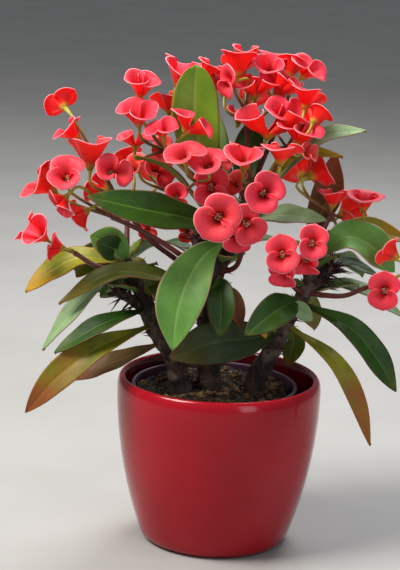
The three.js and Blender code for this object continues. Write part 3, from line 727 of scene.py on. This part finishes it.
BARK_KNOBS = (6, 0.8)  # how wide and how deep the bark's knobs are
THORN_LENGTH = 9.0
THORN_RADIUS = 1.125
THORN_TIP = 0.06
SPREAD = (0.9, 1.0)  # how far a main shoot's thorns lean, and their length to THORN_LENGTH
BURST = (1.3, 1.45)  # the same for a side shoot, whose thorns stand round its tip


def shoot_radius(foot, tip, flare):
    """The radius round and along a shoot: ribbed, knobbly, flared at the soil and domed at its tip."""
    def radius(turn, along):
        taper = foot + (tip - foot) * along + flare * math.exp(-along * 9)
        ribs = 1 + 0.07 * math.cos(5 * turn + along * 16) + 0.05 * math.sin(along * 70 + math.sin(turn) * 2)
        dome = math.sqrt(max(1 - max((along - 0.95) / 0.05, 0.0) ** 2, 0.004))
        return taper * ribs * dome * MM
    return radius


def make_stem(name, shoots):
    """One stem and its side shoots: bark and thorns as two pieces."""
    bark, thorns = new_mesh(), new_mesh()
    for shoot in shoots:
        main = shoot is shoots[0]
        route, foot, tip = Route(shoot["points"]), shoot["foot"], shoot["tip"]
        steps = int(route.length / MM * STEM_STEPS)
        tube(bark, route, shoot_radius(foot, tip, STEM_FLARE if main else 0.0), 24, steps)
        for i in range(shoot["thorns"]):
            share = i / shoot["thorns"]
            along = share + 0.5 / shoot["thorns"] if main else 1 - 0.7 * share ** 1.2
            size = foot + (tip - foot) * along
            grow_thorn(thorns, route, along, i * GOLDEN_ANGLE, size, *(SPREAD if main else BURST))
    for vert in bark.verts:
        vert.co += wander(vert.co, *BARK_KNOBS)
    finish_piece(name + "_bark", bark, [BARK], "bark", [name])
    finish_piece(name + "_thorns", thorns, [THORN], "bark", [name])


def grow_thorn(mesh, route, along, turn, radius, most_lean, reach):
    """A slender thorn, a little curved, that leans towards the stem's tip by up to most_lean."""
    base = route.at(along)
    if base.z < (SOIL_TOP + BARE_FOOT) * MM:
        return
    forward = route.heading(along)
    sideways = forward.cross(OFF_AXIS).normalized()
    lean = forward * random.uniform(0.0, most_lean)
    out = (Matrix.Rotation(turn, 3, forward) @ sideways + lean).normalized()
    length = (radius + THORN_LENGTH * reach * random.uniform(0.6, 1.1)) * MM
    bend = wander(base, 4, 1.4)
    path = Route([base / MM, (base + out * length * 0.5 + bend) / MM, (base + out * length) / MM], 4)
    tube(mesh, path, lambda _, far: max(THORN_RADIUS * (1 - far), THORN_TIP) * MM, 5, 5)


# ---- Leaves ----
# Each leaf: its stem, the height where it leaves it, points to the tip and its width, in millimetres,
# the way its face looks, its finish, and where they matter its twist in degrees and where it is broadest
LEAVES = {
    "front_leaf": (
        "centre_stem", 199, [(-13, -24, 190), (-26, -42, 166), (-30, -50, 136)],
        30, (-1, -8, 3), "sage", 0, 1.3),
    "front_left_leaf": (
        "centre_stem", 203, [(-22, -28, 214), (-50, -46, 222), (-84, -52, 230)], 24, (0, -6, 4), "dark", 15),
    "upright_leaf": (
        "centre_stem", 210, [(-6, -11, 230), (-20, -12, 266), (-22, -10, 306)],
        29, (1, -8, 1), "fresh", 0, 2.1),
    "arching_leaf": (
        "centre_stem", 158, [(-28, -25, 173), (-66, -25, 178), (-102, -22, 156)],
        16, (0, -2, 6), "olive", -15),
    "left_brown_leaf": ("left_stem", 168, [(-70, 4, 166), (-88, 5, 157)], 15, (0, -3, 5), "dark"),
    "left_pale_leaf": (
        "left_stem", 172, [(-73, -13, 170), (-90, -18, 154), (-112, -19, 125)], 14, (-2, -4, 4), "pale", 25),
    "left_dark_leaf": ("left_stem", 152, [(-74, -34, 147), (-103, -36, 128)], 14, (0, -3, 5), "dark"),
    "low_left_leaf": (
        "left_stem", 142, [(-78, -36, 131), (-102, -40, 112), (-120, -40, 90)],
        19, (-1, -4, 4), "turning", -30),
    "low_rust_leaf": ("left_stem", 131, [(-66, -22, 120), (-92, -26, 108)], 14, (0, -3, 5), "rust"),
    "yellow_leaf": (
        "left_stem", 180, [(-92, 2, 180), (-110, 2, 170), (-125, 1, 157)], 18, (0, -4, 4), "yellow", 20),
    "left_round_leaf": ("left_stem", 174, [(-80, 15, 178), (-98, 17, 170)], 20, (0, -5, 2), "dark"),
    "inner_left_leaf": ("left_stem", 179, [(-68, -9, 191), (-84, -9, 197)], 19, (0, -6, 2), "sage"),
    "curled_leaf": (
        "centre_stem", 196, [(-14, 2, 214), (-36, -4, 239), (-58, -10, 249)], 13, (0, -1, 6), "olive", 40),
    "centre_small_leaf": (
        "centre_stem", 169, [(-2, -28, 170), (-1, -36, 158), (-1, -38, 143)], 17, (0, -6, 2), "dark"),
    "centre_rust_leaf": ("centre_stem", 160, [(4, -23, 164), (12, -33, 148)], 13, (2, -5, 1), "rust"),
    "right_front_leaf": ("right_stem", 158, [(33, -36, 160), (14, -48, 147)], 20, (1, -5, 3), "dark"),
    # Its finish is the darker shaded one, painted shade for where it hangs in shadow
    "shaded_leaf": (
        "right_stem", 136, [(18, -22, 138), (-4, -30, 137), (-32, -34, 127)], 27, (0, -6, 1), "shaded"),
    "right_small_leaf": ("right_stem", 140, [(47, 12, 130), (44, 15, 111)], 14, (1, -6, 1), "olive"),
    "right_low_leaf": (
        "right_stem", 157, [(80, -12, 145), (98, -13, 126), (112, -12, 104)], 18, (2, -4, 4), "dark", 25),
    "hanging_leaf": (
        "right_stem", 143, [(72, -32, 127), (86, -37, 104), (95, -38, 76)], 11, (2, -5, 2), "turning", 60),
    "right_pale_leaf": ("right_stem", 170, [(88, 14, 163), (117, 16, 146)], 18, (0, -2, 6), "pale"),
    "right_thin_leaf": ("right_stem", 180, [(80, 18, 179), (99, 20, 172)], 13, (0, -2, 5), "dark"),
    "right_broad_leaf": (
        "right_stem", 184, [(76, -7, 202), (92, -7, 196), (107, -5, 180)], 27, (0, -4, 5), "sage"),
    "right_yellow_leaf": ("right_stem", 186, [(86, 24, 200), (119, 30, 194)], 17, (0, -4, 4), "yellow"),
    "inner_right_leaf": ("back_stem", 203, [(34, -7, 214), (62, -17, 214)], 16, (-1, -3, 5), "pale"),
    "upper_right_leaf": (
        "back_stem", 212, [(28, 12, 229), (42, 7, 249), (62, 3, 264), (85, 0, 268)],
        16, (-1, -3, 5), "pale"),
    "rear_round_leaf": (
        "right_stem", 186, [(60, 24, 206), (66, 33, 223), (69, 33, 248)], 20, (-2, -5, 0), "rust"),
    "upper_rear_leaf": ("back_stem", 213, [(12, 25, 246), (19, 29, 272)], 18, (0, -6, 1), "dark"),
    "back_left_leaf": ("back_stem", 168, [(-38, 50, 182), (-72, 72, 160)], 24, (-2, 3, 6), "dark"),
    "back_right_leaf": ("right_stem", 176, [(72, 44, 180), (94, 68, 160)], 24, (2, 3, 6), "sage"),
    "back_centre_leaf": ("back_stem", 190, [(4, 56, 202), (8, 88, 180)], 26, (0, 3, 6), "dark"),
    "back_low_leaf": ("back_stem", 150, [(-16, 52, 152), (-26, 82, 122)], 22, (0, 3, 5), "olive"),
    "back_low_right_leaf": ("right_stem", 146, [(50, 40, 150), (64, 76, 120)], 22, (1, 3, 5), "olive"),
    "back_upper_leaf": ("back_stem", 206, [(-8, 38, 238), (-14, 54, 278)], 22, (0, 5, 2), "sage"),
}

# Smaller leaves that fill the crown, laid out like those above
SMALL_LEAVES = {
    "small_left_leaf": (
        "left_stem", 166, [(-52, -2, 171), (-66, -4, 167), (-77, -6, 157)], 17, (0, -4, 3), "dark"),
    "round_left_leaf": (
        "left_stem", 180, [(-78, 4, 180), (-86, 4, 177), (-93, 4, 167)], 15, (0, -5, 2), "olive", 10),
    "high_left_leaf": (
        "left_stem", 181, [(-66, -8, 187), (-72, -12, 191), (-80, -14, 194)], 16, (0, -6, 2), "dark"),
    "folded_left_leaf": (
        "left_stem", 158, [(-42, -22, 172), (-40, -26, 166), (-41, -28, 160)], 12, (-1, -6, 1), "olive"),
    "narrow_right_leaf": (
        "back_stem", 214, [(44, -4, 255), (58, -6, 254), (71, -6, 252)], 9, (0, -4, 4), "yellow"),
    "yellow_tip_leaf": (
        "right_stem", 136, [(25, -18, 148), (26, -20, 143), (28, -20, 138)], 9, (0, -6, 1), "yellow"),
    "pale_stub_leaf": (
        "right_stem", 148, [(48, -8, 155), (52, -10, 152), (57, -10, 148)], 10, (0, -6, 1), "pale"),
}
YOUNG_FINISHES = ("fresh", "sage", "dark", "olive", "dark", "sage")  # the newest leaf first
FIRST_HEADING = {"left_stem": 40, "centre_stem": 95, "back_stem": 40, "right_stem": 40}  # of the newest leaf


# ---- Flower clusters ----
# Each cluster: its stem, the height where the stalk leaves it, points to the fork, and its flowers. A flower
# is its middle (x, y, z), the heading and tilt of its face in degrees, its width, the turn of its two bracts
# in degrees, and its depth as a share of its width. Lengths are in millimetres.
CLUSTERS = {
    "low_left_flowers": ("left_stem", 177, [(-78, -12, 178), (-93, -15, 187)], [
        (-118, -20, 201, -150, 35, 24, 90, 0.75),
        (-104, -22, 192, -175, 10, 17, 0, 0.55),
    ]),
    "big_left_flowers": ("centre_stem", 170, [(-20, -19, 184), (-46, -21, 201), (-70, -26, 213)], [
        (-97, -42, 241, -97, 50, 25, -5, 0.42),
        (-112, -34, 234, 176, 34, 27, 80, 0.6),
        (-100, -44, 225, -150, -35, 18, 40, 0.5),
        (-88, -34, 216, 175, -30, 19, 30, 0.5),
    ]),
    "middle_left_flowers": ("centre_stem", 166, [(-30, -10, 184), (-48, -13, 198), (-68, -16, 224)], [
        (-69, -32, 242, -60, 25, 21, 60, 0.5),
        (-85, -18, 252, 100, 64, 29, 0, 0.7),
        (-96, -22, 264, 168, 45, 22, 90, 0.55),
        (-103, -10, 279, 125, 26, 21, 35, 0.42),
    ]),
    "top_left_flowers": ("back_stem", 196, [(-14, 14, 226), (-40, 6, 250)], [
        (-55, 2, 290, -70, 68, 24, -95, 0.6),
        (-57, -8, 274, -115, 66, 25, 75, 0.58),
        (-58, 6, 256, -100, 84, 18, 10, 0.55),
    ]),
    "top_middle_flowers": ("back_stem", 217, [(0, 15, 240), (-18, 13, 264)], [
        (-31, 10, 300, -30, 74, 28, -60, 0.66),
        (-14, 16, 300, 10, 60, 20, 60, 0.6),
        (-39, 12, 280, 120, 72, 19, 0, 0.7),
        (-9, 22, 291, 10, 40, 17, 60, 0.6),
    ]),
    "centre_left_flowers": ("centre_stem", 207, [(-4, -19, 219), (-19, -29, 237)], [
        (-26, -44, 255, -105, 66, 25, -40, 0.42),
        (-12, -42, 251, -95, 64, 25, -20, 0.42),
        (-10, -28, 234, -90, 10, 24, 0, 0.4),
        (-41, -24, 267, -115, 62, 20, 100, 0.45),
        (-23, -27, 272, -10, 55, 24, 0, 0.55),
        (-31, -14, 224, -90, 10, 17, 0, 0.5),
    ]),
    "front_flowers": ("centre_stem", 176, [(7, -20, 183), (12, -34, 204)], [
        (-5, -60, 222, -92, 8, 30, -35, 0.3),
        (12, -49, 216, -85, -5, 26, 40, 0.3),
        (22, -50, 236, -75, 18, 26, -40, 0.38),
        (7, -40, 206, -95, -25, 20, 0, 0.35),
    ]),
    "centre_flowers": ("centre_stem", 203, [(12, -13, 221), (15, -15, 236)], [
        (10, -33, 255, -75, 80, 29, 80, 0.55),
        (32, -33, 257, 60, 75, 26, 0, 0.5),
        (6, -20, 236, -120, 40, 15, 0, 0.5),
        (3, -24, 251, -150, 20, 14, 0, 0.5),
    ]),
    "top_flowers": ("back_stem", 221, [(13, 11, 248), (10, 11, 276)], [
        (4, 16, 304, 80, 62, 27, 10, 0.6),
        (9, 30, 308, -85, 84, 19, 85, 0.75),
        (0, 2, 295, -150, -5, 21, 0, 0.4),
        (5, 12, 274, -90, 80, 16, 90, 0.6),
        (16, 10, 292, -80, 75, 24, 90, 0.6),
    ]),
    "top_right_flowers": ("back_stem", 208, [(20, 24, 236), (34, 21, 274)], [
        (25, 24, 304, -75, 72, 24, -30, 0.6),
        (38, 28, 302, 60, 60, 22, 0, 0.6),
        (33, 12, 292, -10, 50, 19, 0, 0.8),
        (48, 20, 301, -35, 45, 23, 20, 0.5),
    ]),
    "right_flowers": ("back_stem", 210, [(24, -2, 232), (36, -3, 256)], [
        (48, 2, 287, 60, 62, 22, 10, 0.65),
        (26, -6, 274, -20, 78, 28, 40, 0.8),
        (34, 0, 276, -60, 55, 27, 70, 0.5),
        (53, -6, 276, 60, 40, 19, 60, 0.5),
        (44, -13, 266, -50, 72, 28, 10, 0.5),
        (48, -14, 255, -40, 20, 14, 60, 0.6),
    ]),
    "right_back_flowers": ("right_stem", 191, [(63, 10, 204), (67, 13, 212)], [
        (56, 8, 239, 30, 25, 27, 70, 0.45),
        (68, 16, 222, 60, 70, 20, 0, 0.6),
        (88, 18, 220, -60, 82, 28, 75, 0.42),
        (77, 15, 207, 40, 20, 12, 0, 0.6),
    ]),
    "front_right_flowers": ("right_stem", 162, [(42, -18, 174), (42, -30, 186)], [
        (34, -56, 200, -95, 20, 23, 10, 0.35),
        (36, -40, 185, -110, -30, 20, 0, 0.35),
        (52, -52, 207, -80, 22, 21, -10, 0.35),
        (49, -40, 192, -100, -40, 20, 0, 0.35),
    ]),
    "far_right_flowers": ("right_stem", 163, [(76, -7, 164), (89, -12, 171)], [
        (100, -20, 171, -105, 5, 23, 0, 0.32),
        (103, -20, 195, 150, 30, 20, 0, 0.5),
    ]),
    "rear_left_flowers": ("back_stem", 186, [(-18, 24, 204), (-36, 24, 220)], [
        (-44, 20, 234, -60, 25, 20, 30, 0.5),
        (-58, 22, 237, -120, 50, 16, 0, 0.6),
        (-41, 18, 250, -100, 30, 15, 0, 0.5),
        (-24, 24, 195, -90, -10, 13, 0, 0.5),
        (-49, 24, 197, -90, 0, 14, 0, 0.5),
    ]),
    "back_top_flowers": ("back_stem", 202, [(12, 34, 232), (14, 46, 262)], [
        (-4, 52, 288, 100, 60, 27, 60, 0.6),
        (16, 62, 280, 80, 40, 27, 0, 0.4),
        (32, 48, 290, 60, 60, 26, 90, 0.5),
    ]),
    "back_left_flowers": ("left_stem", 181, [(-62, 22, 204), (-60, 40, 212)], [
        (-66, 54, 234, 130, 45, 27, 0, 0.4),
        (-46, 62, 226, 90, 40, 26, 0, 0.4),
        (-82, 48, 218, 160, 20, 25, 30, 0.5),
    ]),
    "back_right_flowers": ("right_stem", 180, [(54, 24, 190), (60, 42, 208)], [
        (64, 56, 222, 60, 45, 27, 0, 0.4),
        (50, 60, 230, 90, 30, 26, 60, 0.4),
        (80, 50, 208, 30, 30, 25, 0, 0.5),
    ]),
}


# ---- Leaves: shape ----
PETIOLE_WIDTH = 3.0
LEAF_THICKNESS = 0.7
LEAF_EDGE = 0.25
LEAF_WAVE = 0.07
BROADEST = 1.4  # the larger it is, the nearer to the tip a leaf is broadest
MIDRIB_DEPTH = 0.45
MIDRIB_SHARE = 0.09
YOUNG_LENGTH = (18, 4)  # the newest leaf's, and how much more each older one has, in millimetres
YOUNG_WIDTH = (6, 1.6)
YOUNG_TILT = (52, -7)
YOUNG_DROOP = 0.1


def leaf_half_width(along, width, broadest):
    """Half a leaf's width in millimetres: a narrow stalk, broadest past the middle, then a blunt point."""
    swell = math.sin(math.pi * min(along, 0.9999) ** broadest) ** (1.2 / broadest)
    return max(PETIOLE_WIDTH / 2 * (1 - along), width / 2 * swell) + LEAF_EDGE


def make_leaf(name, stem, height, points, width, face, finish, twist=0, broadest=BROADEST, node=True):
    """One leaf: a blade folded along its midrib, a little wavy at the margin, on a short stalk."""
    root = STEM_ROUTES[stem].at_height(height) / MM
    route = Route([root, *points])
    face = Vector(face).normalized()
    phase = random.uniform(0, 2 * math.pi)
    waves = random.uniform(2.0, 3.6)

    def place(across, along):
        side = 2 * across - 1
        forward = route.heading(along)
        right = forward.cross(face).normalized()
        turn = Matrix.Rotation(math.radians(twist) * along ** 2, 3, forward)
        right = turn @ right
        up = right.cross(forward)
        half = leaf_half_width(along, width, broadest)
        rise = abs(side) ** 1.5 * half * (0.34 - 0.2 * along)
        rise += math.sin(along * waves * 2 * math.pi + phase + 1.3 * side) * side ** 2 * half * LEAF_WAVE
        rise -= math.exp(-(side / MIDRIB_SHARE) ** 2) * MIDRIB_DEPTH
        return route.at(along) + (right * side * half + up * rise) * MM

    mesh = new_mesh()
    lay(mesh, 16, 40, place)
    slot, flesh, underside = LEAF_FINISHES[finish]
    nodes = [name] if node else ()
    piece = finish_piece(name + "_blade", mesh, [flesh, underside], slot, nodes, shell=False)
    thicken(piece, LEAF_THICKNESS)


def make_young_leaves(stem):
    """The young leaves that spread from a stem's growing tip, the newest ones smallest."""
    for i, finish in enumerate(YOUNG_FINISHES):
        height = STEM_ROUTES[stem].at(0.98 - 0.05 * i).z / MM
        root = STEM_ROUTES[stem].at_height(height) / MM
        length, width, tilt = (first + more * i for first, more in (YOUNG_LENGTH, YOUNG_WIDTH, YOUNG_TILT))
        out = facing(math.degrees(i * GOLDEN_ANGLE) + FIRST_HEADING[stem], tilt)
        droop = Vector((0, 0, -YOUNG_DROOP * length))
        points = [
            root + out * length * 0.35,
            root + out * length * 0.7 + droop * 0.3,
            root + out * length + droop,
        ]
        face = out.cross(Vector((0, 0, 1))).cross(out)
        make_leaf("%s_young_leaf_%d" % (stem, i + 1), stem, height, points, width, face, finish, node=False)


# ---- Flower clusters: shape ----
PEDUNCLE_RADIUS = 1.5
PEDICEL_RADIUS = 0.95
BRACT_THICKNESS = 0.45
BRACT_SPREAD = math.radians(112)
BRACT_CORNER = math.radians(42)
BRACT_NECK = 0.12
BRACT_LIFT = 0.8  # how far the upper bract of a pair clears the lower one, in millimetres
CUP_PROFILE = [(0.6, 0.4), (1.1, 1.0), (1.5, 1.9), (1.7, 2.8), (1.3, 3.1), (0.8, 2.6), (0.0, 2.4)]
GLANDS = 5
GLAND_REACH = 1.9
GLAND_RADIUS = 0.95
GLAND_SHAPE = Matrix.Diagonal((0.7, 1.1, 0.4, 1))
ANTHERS = 4
ANTHER_REACH = 0.55
ANTHER_RADIUS = 0.42
SMALL_FLOWER = 17  # a flower narrower than this is a young one
SMALL_CUP = 0.7


def flower_axes(heading, tilt, turn):
    """A flower's axis, the direction of its first bract, and the direction beside that."""
    axis = facing(heading, tilt)
    up = Vector((1, 0, 0)) if abs(axis.z) > 0.98 else Vector((0, 0, 1))
    side = axis.cross(up).normalized()
    split = Matrix.Rotation(math.radians(turn), 3, axis) @ side.cross(axis)
    return axis, split, split.cross(axis)


def bract_reach(angle):
    """How far a bract's rim is from the throat, as a share: a kidney with a small point in the middle."""
    corner = max(abs(angle) - BRACT_CORNER, 0.0) / math.radians(50)
    return 1 - 0.3 * corner ** 2 + 0.06 * math.exp(-(angle / 0.13) ** 2)


def grow_bract(mesh, foot, axes, width, depth, outward, opening, lift, faded):
    """One broad kidney-shaped bract: a narrow neck at the throat, flaring to a wavy rim. It leans
    outwards by its opening, in degrees, and the upper one of a pair is lifted clear of the other."""
    axis = axes[0]
    beside = outward.cross(axis)
    phase = random.uniform(0, 2 * math.pi)
    reach = width / 2 * random.uniform(0.96, 1.05)
    flare = max(4.2 - 4.4 * depth / width, 1.2)
    hinge = Matrix.Rotation(math.radians(opening), 3, axis.cross(outward))

    def place(across, along):
        angle = (2 * across - 1) * BRACT_SPREAD
        radius = reach * bract_reach(angle) * (BRACT_NECK + (1 - BRACT_NECK) * along)
        rise = depth * (1 - (1 - along) ** flare)
        rise += 0.05 * reach * along ** 3 * math.sin(3 * angle + phase)
        rise += lift * (0.6 + 1.6 * math.sin(angle) ** 2) * along
        rise -= 0.05 * reach * (max(along - 0.7, 0.0) / 0.3) ** 2
        rise -= 0.10 * reach * along * math.exp(-(angle / 0.5) ** 2)
        flat = outward * math.cos(angle) + beside * math.sin(angle)
        upright = flat * radius + axis * rise
        return foot + upright.lerp(hinge @ upright, min(along * 2.5, 1.0)) * MM

    lay(mesh, 24, 10, place, "faded", lambda along: faded)


def grow_cup(mesh, foot, axes, small):
    """The cup of true flowers in the middle: a waxy cup with glands round it and a tuft inside."""
    axis, split, beside = axes
    unit = MM * (SMALL_CUP if small else 1.0)
    place = Matrix.Translation(foot) @ Matrix((split, beside, axis)).transposed().to_4x4()
    profile = [Vector((radius, 0, height)) * unit for radius, height in CUP_PROFILE]
    corners = [mesh.verts.new(place @ corner) for corner in profile]
    rims = [mesh.edges.new(pair) for pair in zip(corners, corners[1:])]
    bmesh.ops.spin(mesh, geom=corners + rims, cent=foot, axis=axis,
                   angle=2 * math.pi, steps=12, use_merge=True)
    for i in range(GLANDS):
        turn = 2 * math.pi * i / GLANDS
        middle = Vector((math.cos(turn) * GLAND_REACH, math.sin(turn) * GLAND_REACH, 2.7)) * unit
        gland = place @ Matrix.Translation(middle) @ Matrix.Rotation(turn, 4, "Z") @ GLAND_SHAPE
        bmesh.ops.create_icosphere(mesh, subdivisions=2, radius=GLAND_RADIUS * unit, matrix=gland)
    for i in range(ANTHERS):
        turn = 2.4 * i
        middle = Vector((math.cos(turn) * ANTHER_REACH, math.sin(turn) * ANTHER_REACH, 3.5)) * unit
        anther = place @ Matrix.Translation(middle)
        bmesh.ops.create_icosphere(mesh, subdivisions=1, radius=ANTHER_RADIUS * MM, matrix=anther)


def make_cluster(name, stem, height, fork, flowers):
    """One cluster: its stalks, its bracts and the cups in the middle of the flowers, as three pieces."""
    stalks, bracts, cups = new_mesh("towards_flower"), new_mesh("faded"), new_mesh()
    root = STEM_ROUTES[stem].at_height(height) / MM
    main = Route([root, *fork])

    def main_radius(turn, along):
        return PEDUNCLE_RADIUS * (1.25 - 0.3 * along + 0.35 * max(along - 0.94, 0) / 0.06) * MM

    tube(stalks, main, main_radius, 10, 24, "towards_flower", lambda along: along * 0.45)
    fork_point = Vector(fork[-1])
    for x, y, z, heading, tilt, width, turn, deepness in flowers:
        axes = flower_axes(heading, tilt, turn)
        depth = width * deepness
        foot = Vector((x, y, z)) - axes[0] * depth * 0.6
        pull = min((foot - fork_point).length * 0.35, 9)
        path = Route([fork_point, foot - axes[0] * pull, foot + axes[0] * 0.8])

        def thin(_, along):
            return PEDICEL_RADIUS * (1.15 - 0.25 * along + 0.9 * max(along - 0.9, 0) / 0.1) * MM

        tube(stalks, path, thin, 8, 16, "towards_flower", lambda along: 0.45 + 0.55 * along)
        small = width < SMALL_FLOWER
        faded = random.uniform(0.0, 0.45) if small else random.uniform(0.0, 0.12)
        for outward, lift in ((axes[1], 0.0), (-axes[1], BRACT_LIFT)):
            opening = random.uniform(-6, 68) * max(deepness - 0.28, 0.06)
            grow_bract(bracts, foot * MM, axes, width, depth, outward, opening, lift, faded)
        grow_cup(cups, foot * MM, axes, small)
    finish_piece(name + "_stalks", stalks, [STALK], "flower", [name])
    finish_piece(name + "_cups", cups, [CUP], "flower", [name])
    piece = finish_piece(name + "_bracts", bracts, [BRACT_FACE, BRACT_BACK], "flower", [name], shell=False)
    thicken(piece, BRACT_THICKNESS)


# ---- Studio ----
FLOOR_REACH = 40.0  # far enough that no edge shows, in metres


def make_floor():
    """A plain pale floor."""
    mesh = bmesh.new()
    bmesh.ops.create_grid(mesh, x_segments=2, y_segments=2, size=FLOOR_REACH)
    data = bpy.data.meshes.new("studio_floor")
    mesh.to_mesh(data)
    mesh.free()
    data.materials.append(floor_material())
    floor = bpy.data.objects.new("studio_floor", data)
    bpy.context.scene.collection.objects.link(floor)


def area_light(name, place, size, power, colour):
    """A soft rectangular light aimed at the plant."""
    data = bpy.data.lights.new(name, "AREA")
    data.shape = "RECTANGLE"
    data.size, data.size_y = size
    data.energy = power
    data.color = linear(colour)[:3]
    light = bpy.data.objects.new(name, data)
    light.location = place
    light.rotation_euler = (Vector((0, 0, 0.15)) - Vector(place)).to_track_quat("-Z", "Y").to_euler()
    bpy.context.scene.collection.objects.link(light)


def make_camera():
    """A long lens that looks a little down at the plant, with a slight roll."""
    data = bpy.data.cameras.new("camera")
    data.lens = 120
    data.sensor_width = 36
    camera = bpy.data.objects.new("camera", data)
    target = Vector((-14.5, 0, 165.9)) * MM
    distance, elevation, roll = 1.2, math.radians(13.335), math.radians(2.09)
    forward = Vector((0, math.cos(elevation), -math.sin(elevation)))
    right = Vector((1, 0, 0))
    up = right.cross(forward)
    right, up = math.cos(roll) * right + math.sin(roll) * up, math.cos(roll) * up - math.sin(roll) * right
    turned = Matrix((right, up, -forward)).transposed().to_4x4()
    camera.matrix_world = Matrix.Translation(target - forward * distance) @ turned
    bpy.context.scene.collection.objects.link(camera)
    bpy.context.scene.camera = camera


def light_studio():
    """Soft daylight: a broad key high on the left, a weak fill, a light behind, and a pale sky."""
    area_light("key", (-0.75, -0.3, 1.25), (0.6, 0.6), 30, "#FFF9F0")
    area_light("fill", (0.7, -1.1, 0.5), (0.4, 0.9), 4, "#F2F5FF")
    area_light("rim", (0.35, 0.8, 1.2), (0.7, 0.5), 14, "#FFFFFF")
    world = bpy.data.worlds.new("pale_sky")
    world.use_nodes = True
    world.node_tree.nodes["Background"].inputs["Color"].default_value = linear("#EDF1F5")
    world.node_tree.nodes["Background"].inputs["Strength"].default_value = 0.26
    bpy.context.scene.world = world
    bpy.context.scene.view_settings.view_transform = "Standard"


# ---- The potted plant ----
BARK = bark_material()
THORN = thorn_material()
STALK = stalk_material()
CUP = cup_material()
# The face's deep and throat colours are painted shade in its funnel, the back's throat colour is its own
# yellow-green, and both rim colours are painted rim highlights
BRACT_FACE = bract_material(
    "velvety_bract_face", "#EE3850", "#BC0A16", "#FFA6B0", "#7A0C14", BRACT_FACE_ROUGHNESS)
BRACT_BACK = bract_material(
    "velvety_bract_back", "#F81018", "#E0080E", "#FF7A80", "#B09A34", BRACT_BACK_ROUGHNESS)
LEAF_FINISHES = {finish: leaf_finish(**colours) for finish, colours in LEAF_COLOURS.items()}

make_camera()
light_studio()
make_floor()
make_cover_pot()
make_nursery_pot()
make_soil()
make_crumbs()
make_fibres()
for stem_name, shoots in STEMS.items():
    make_stem(stem_name, shoots)
for leaf_name, leaf in LEAVES.items():
    make_leaf(leaf_name, *leaf)
for leaf_name, leaf in SMALL_LEAVES.items():
    make_leaf(leaf_name, *leaf, node=False)
for stem_name in STEMS:
    make_young_leaves(stem_name)
for cluster_name, cluster in CLUSTERS.items():
    make_cluster(cluster_name, *cluster)
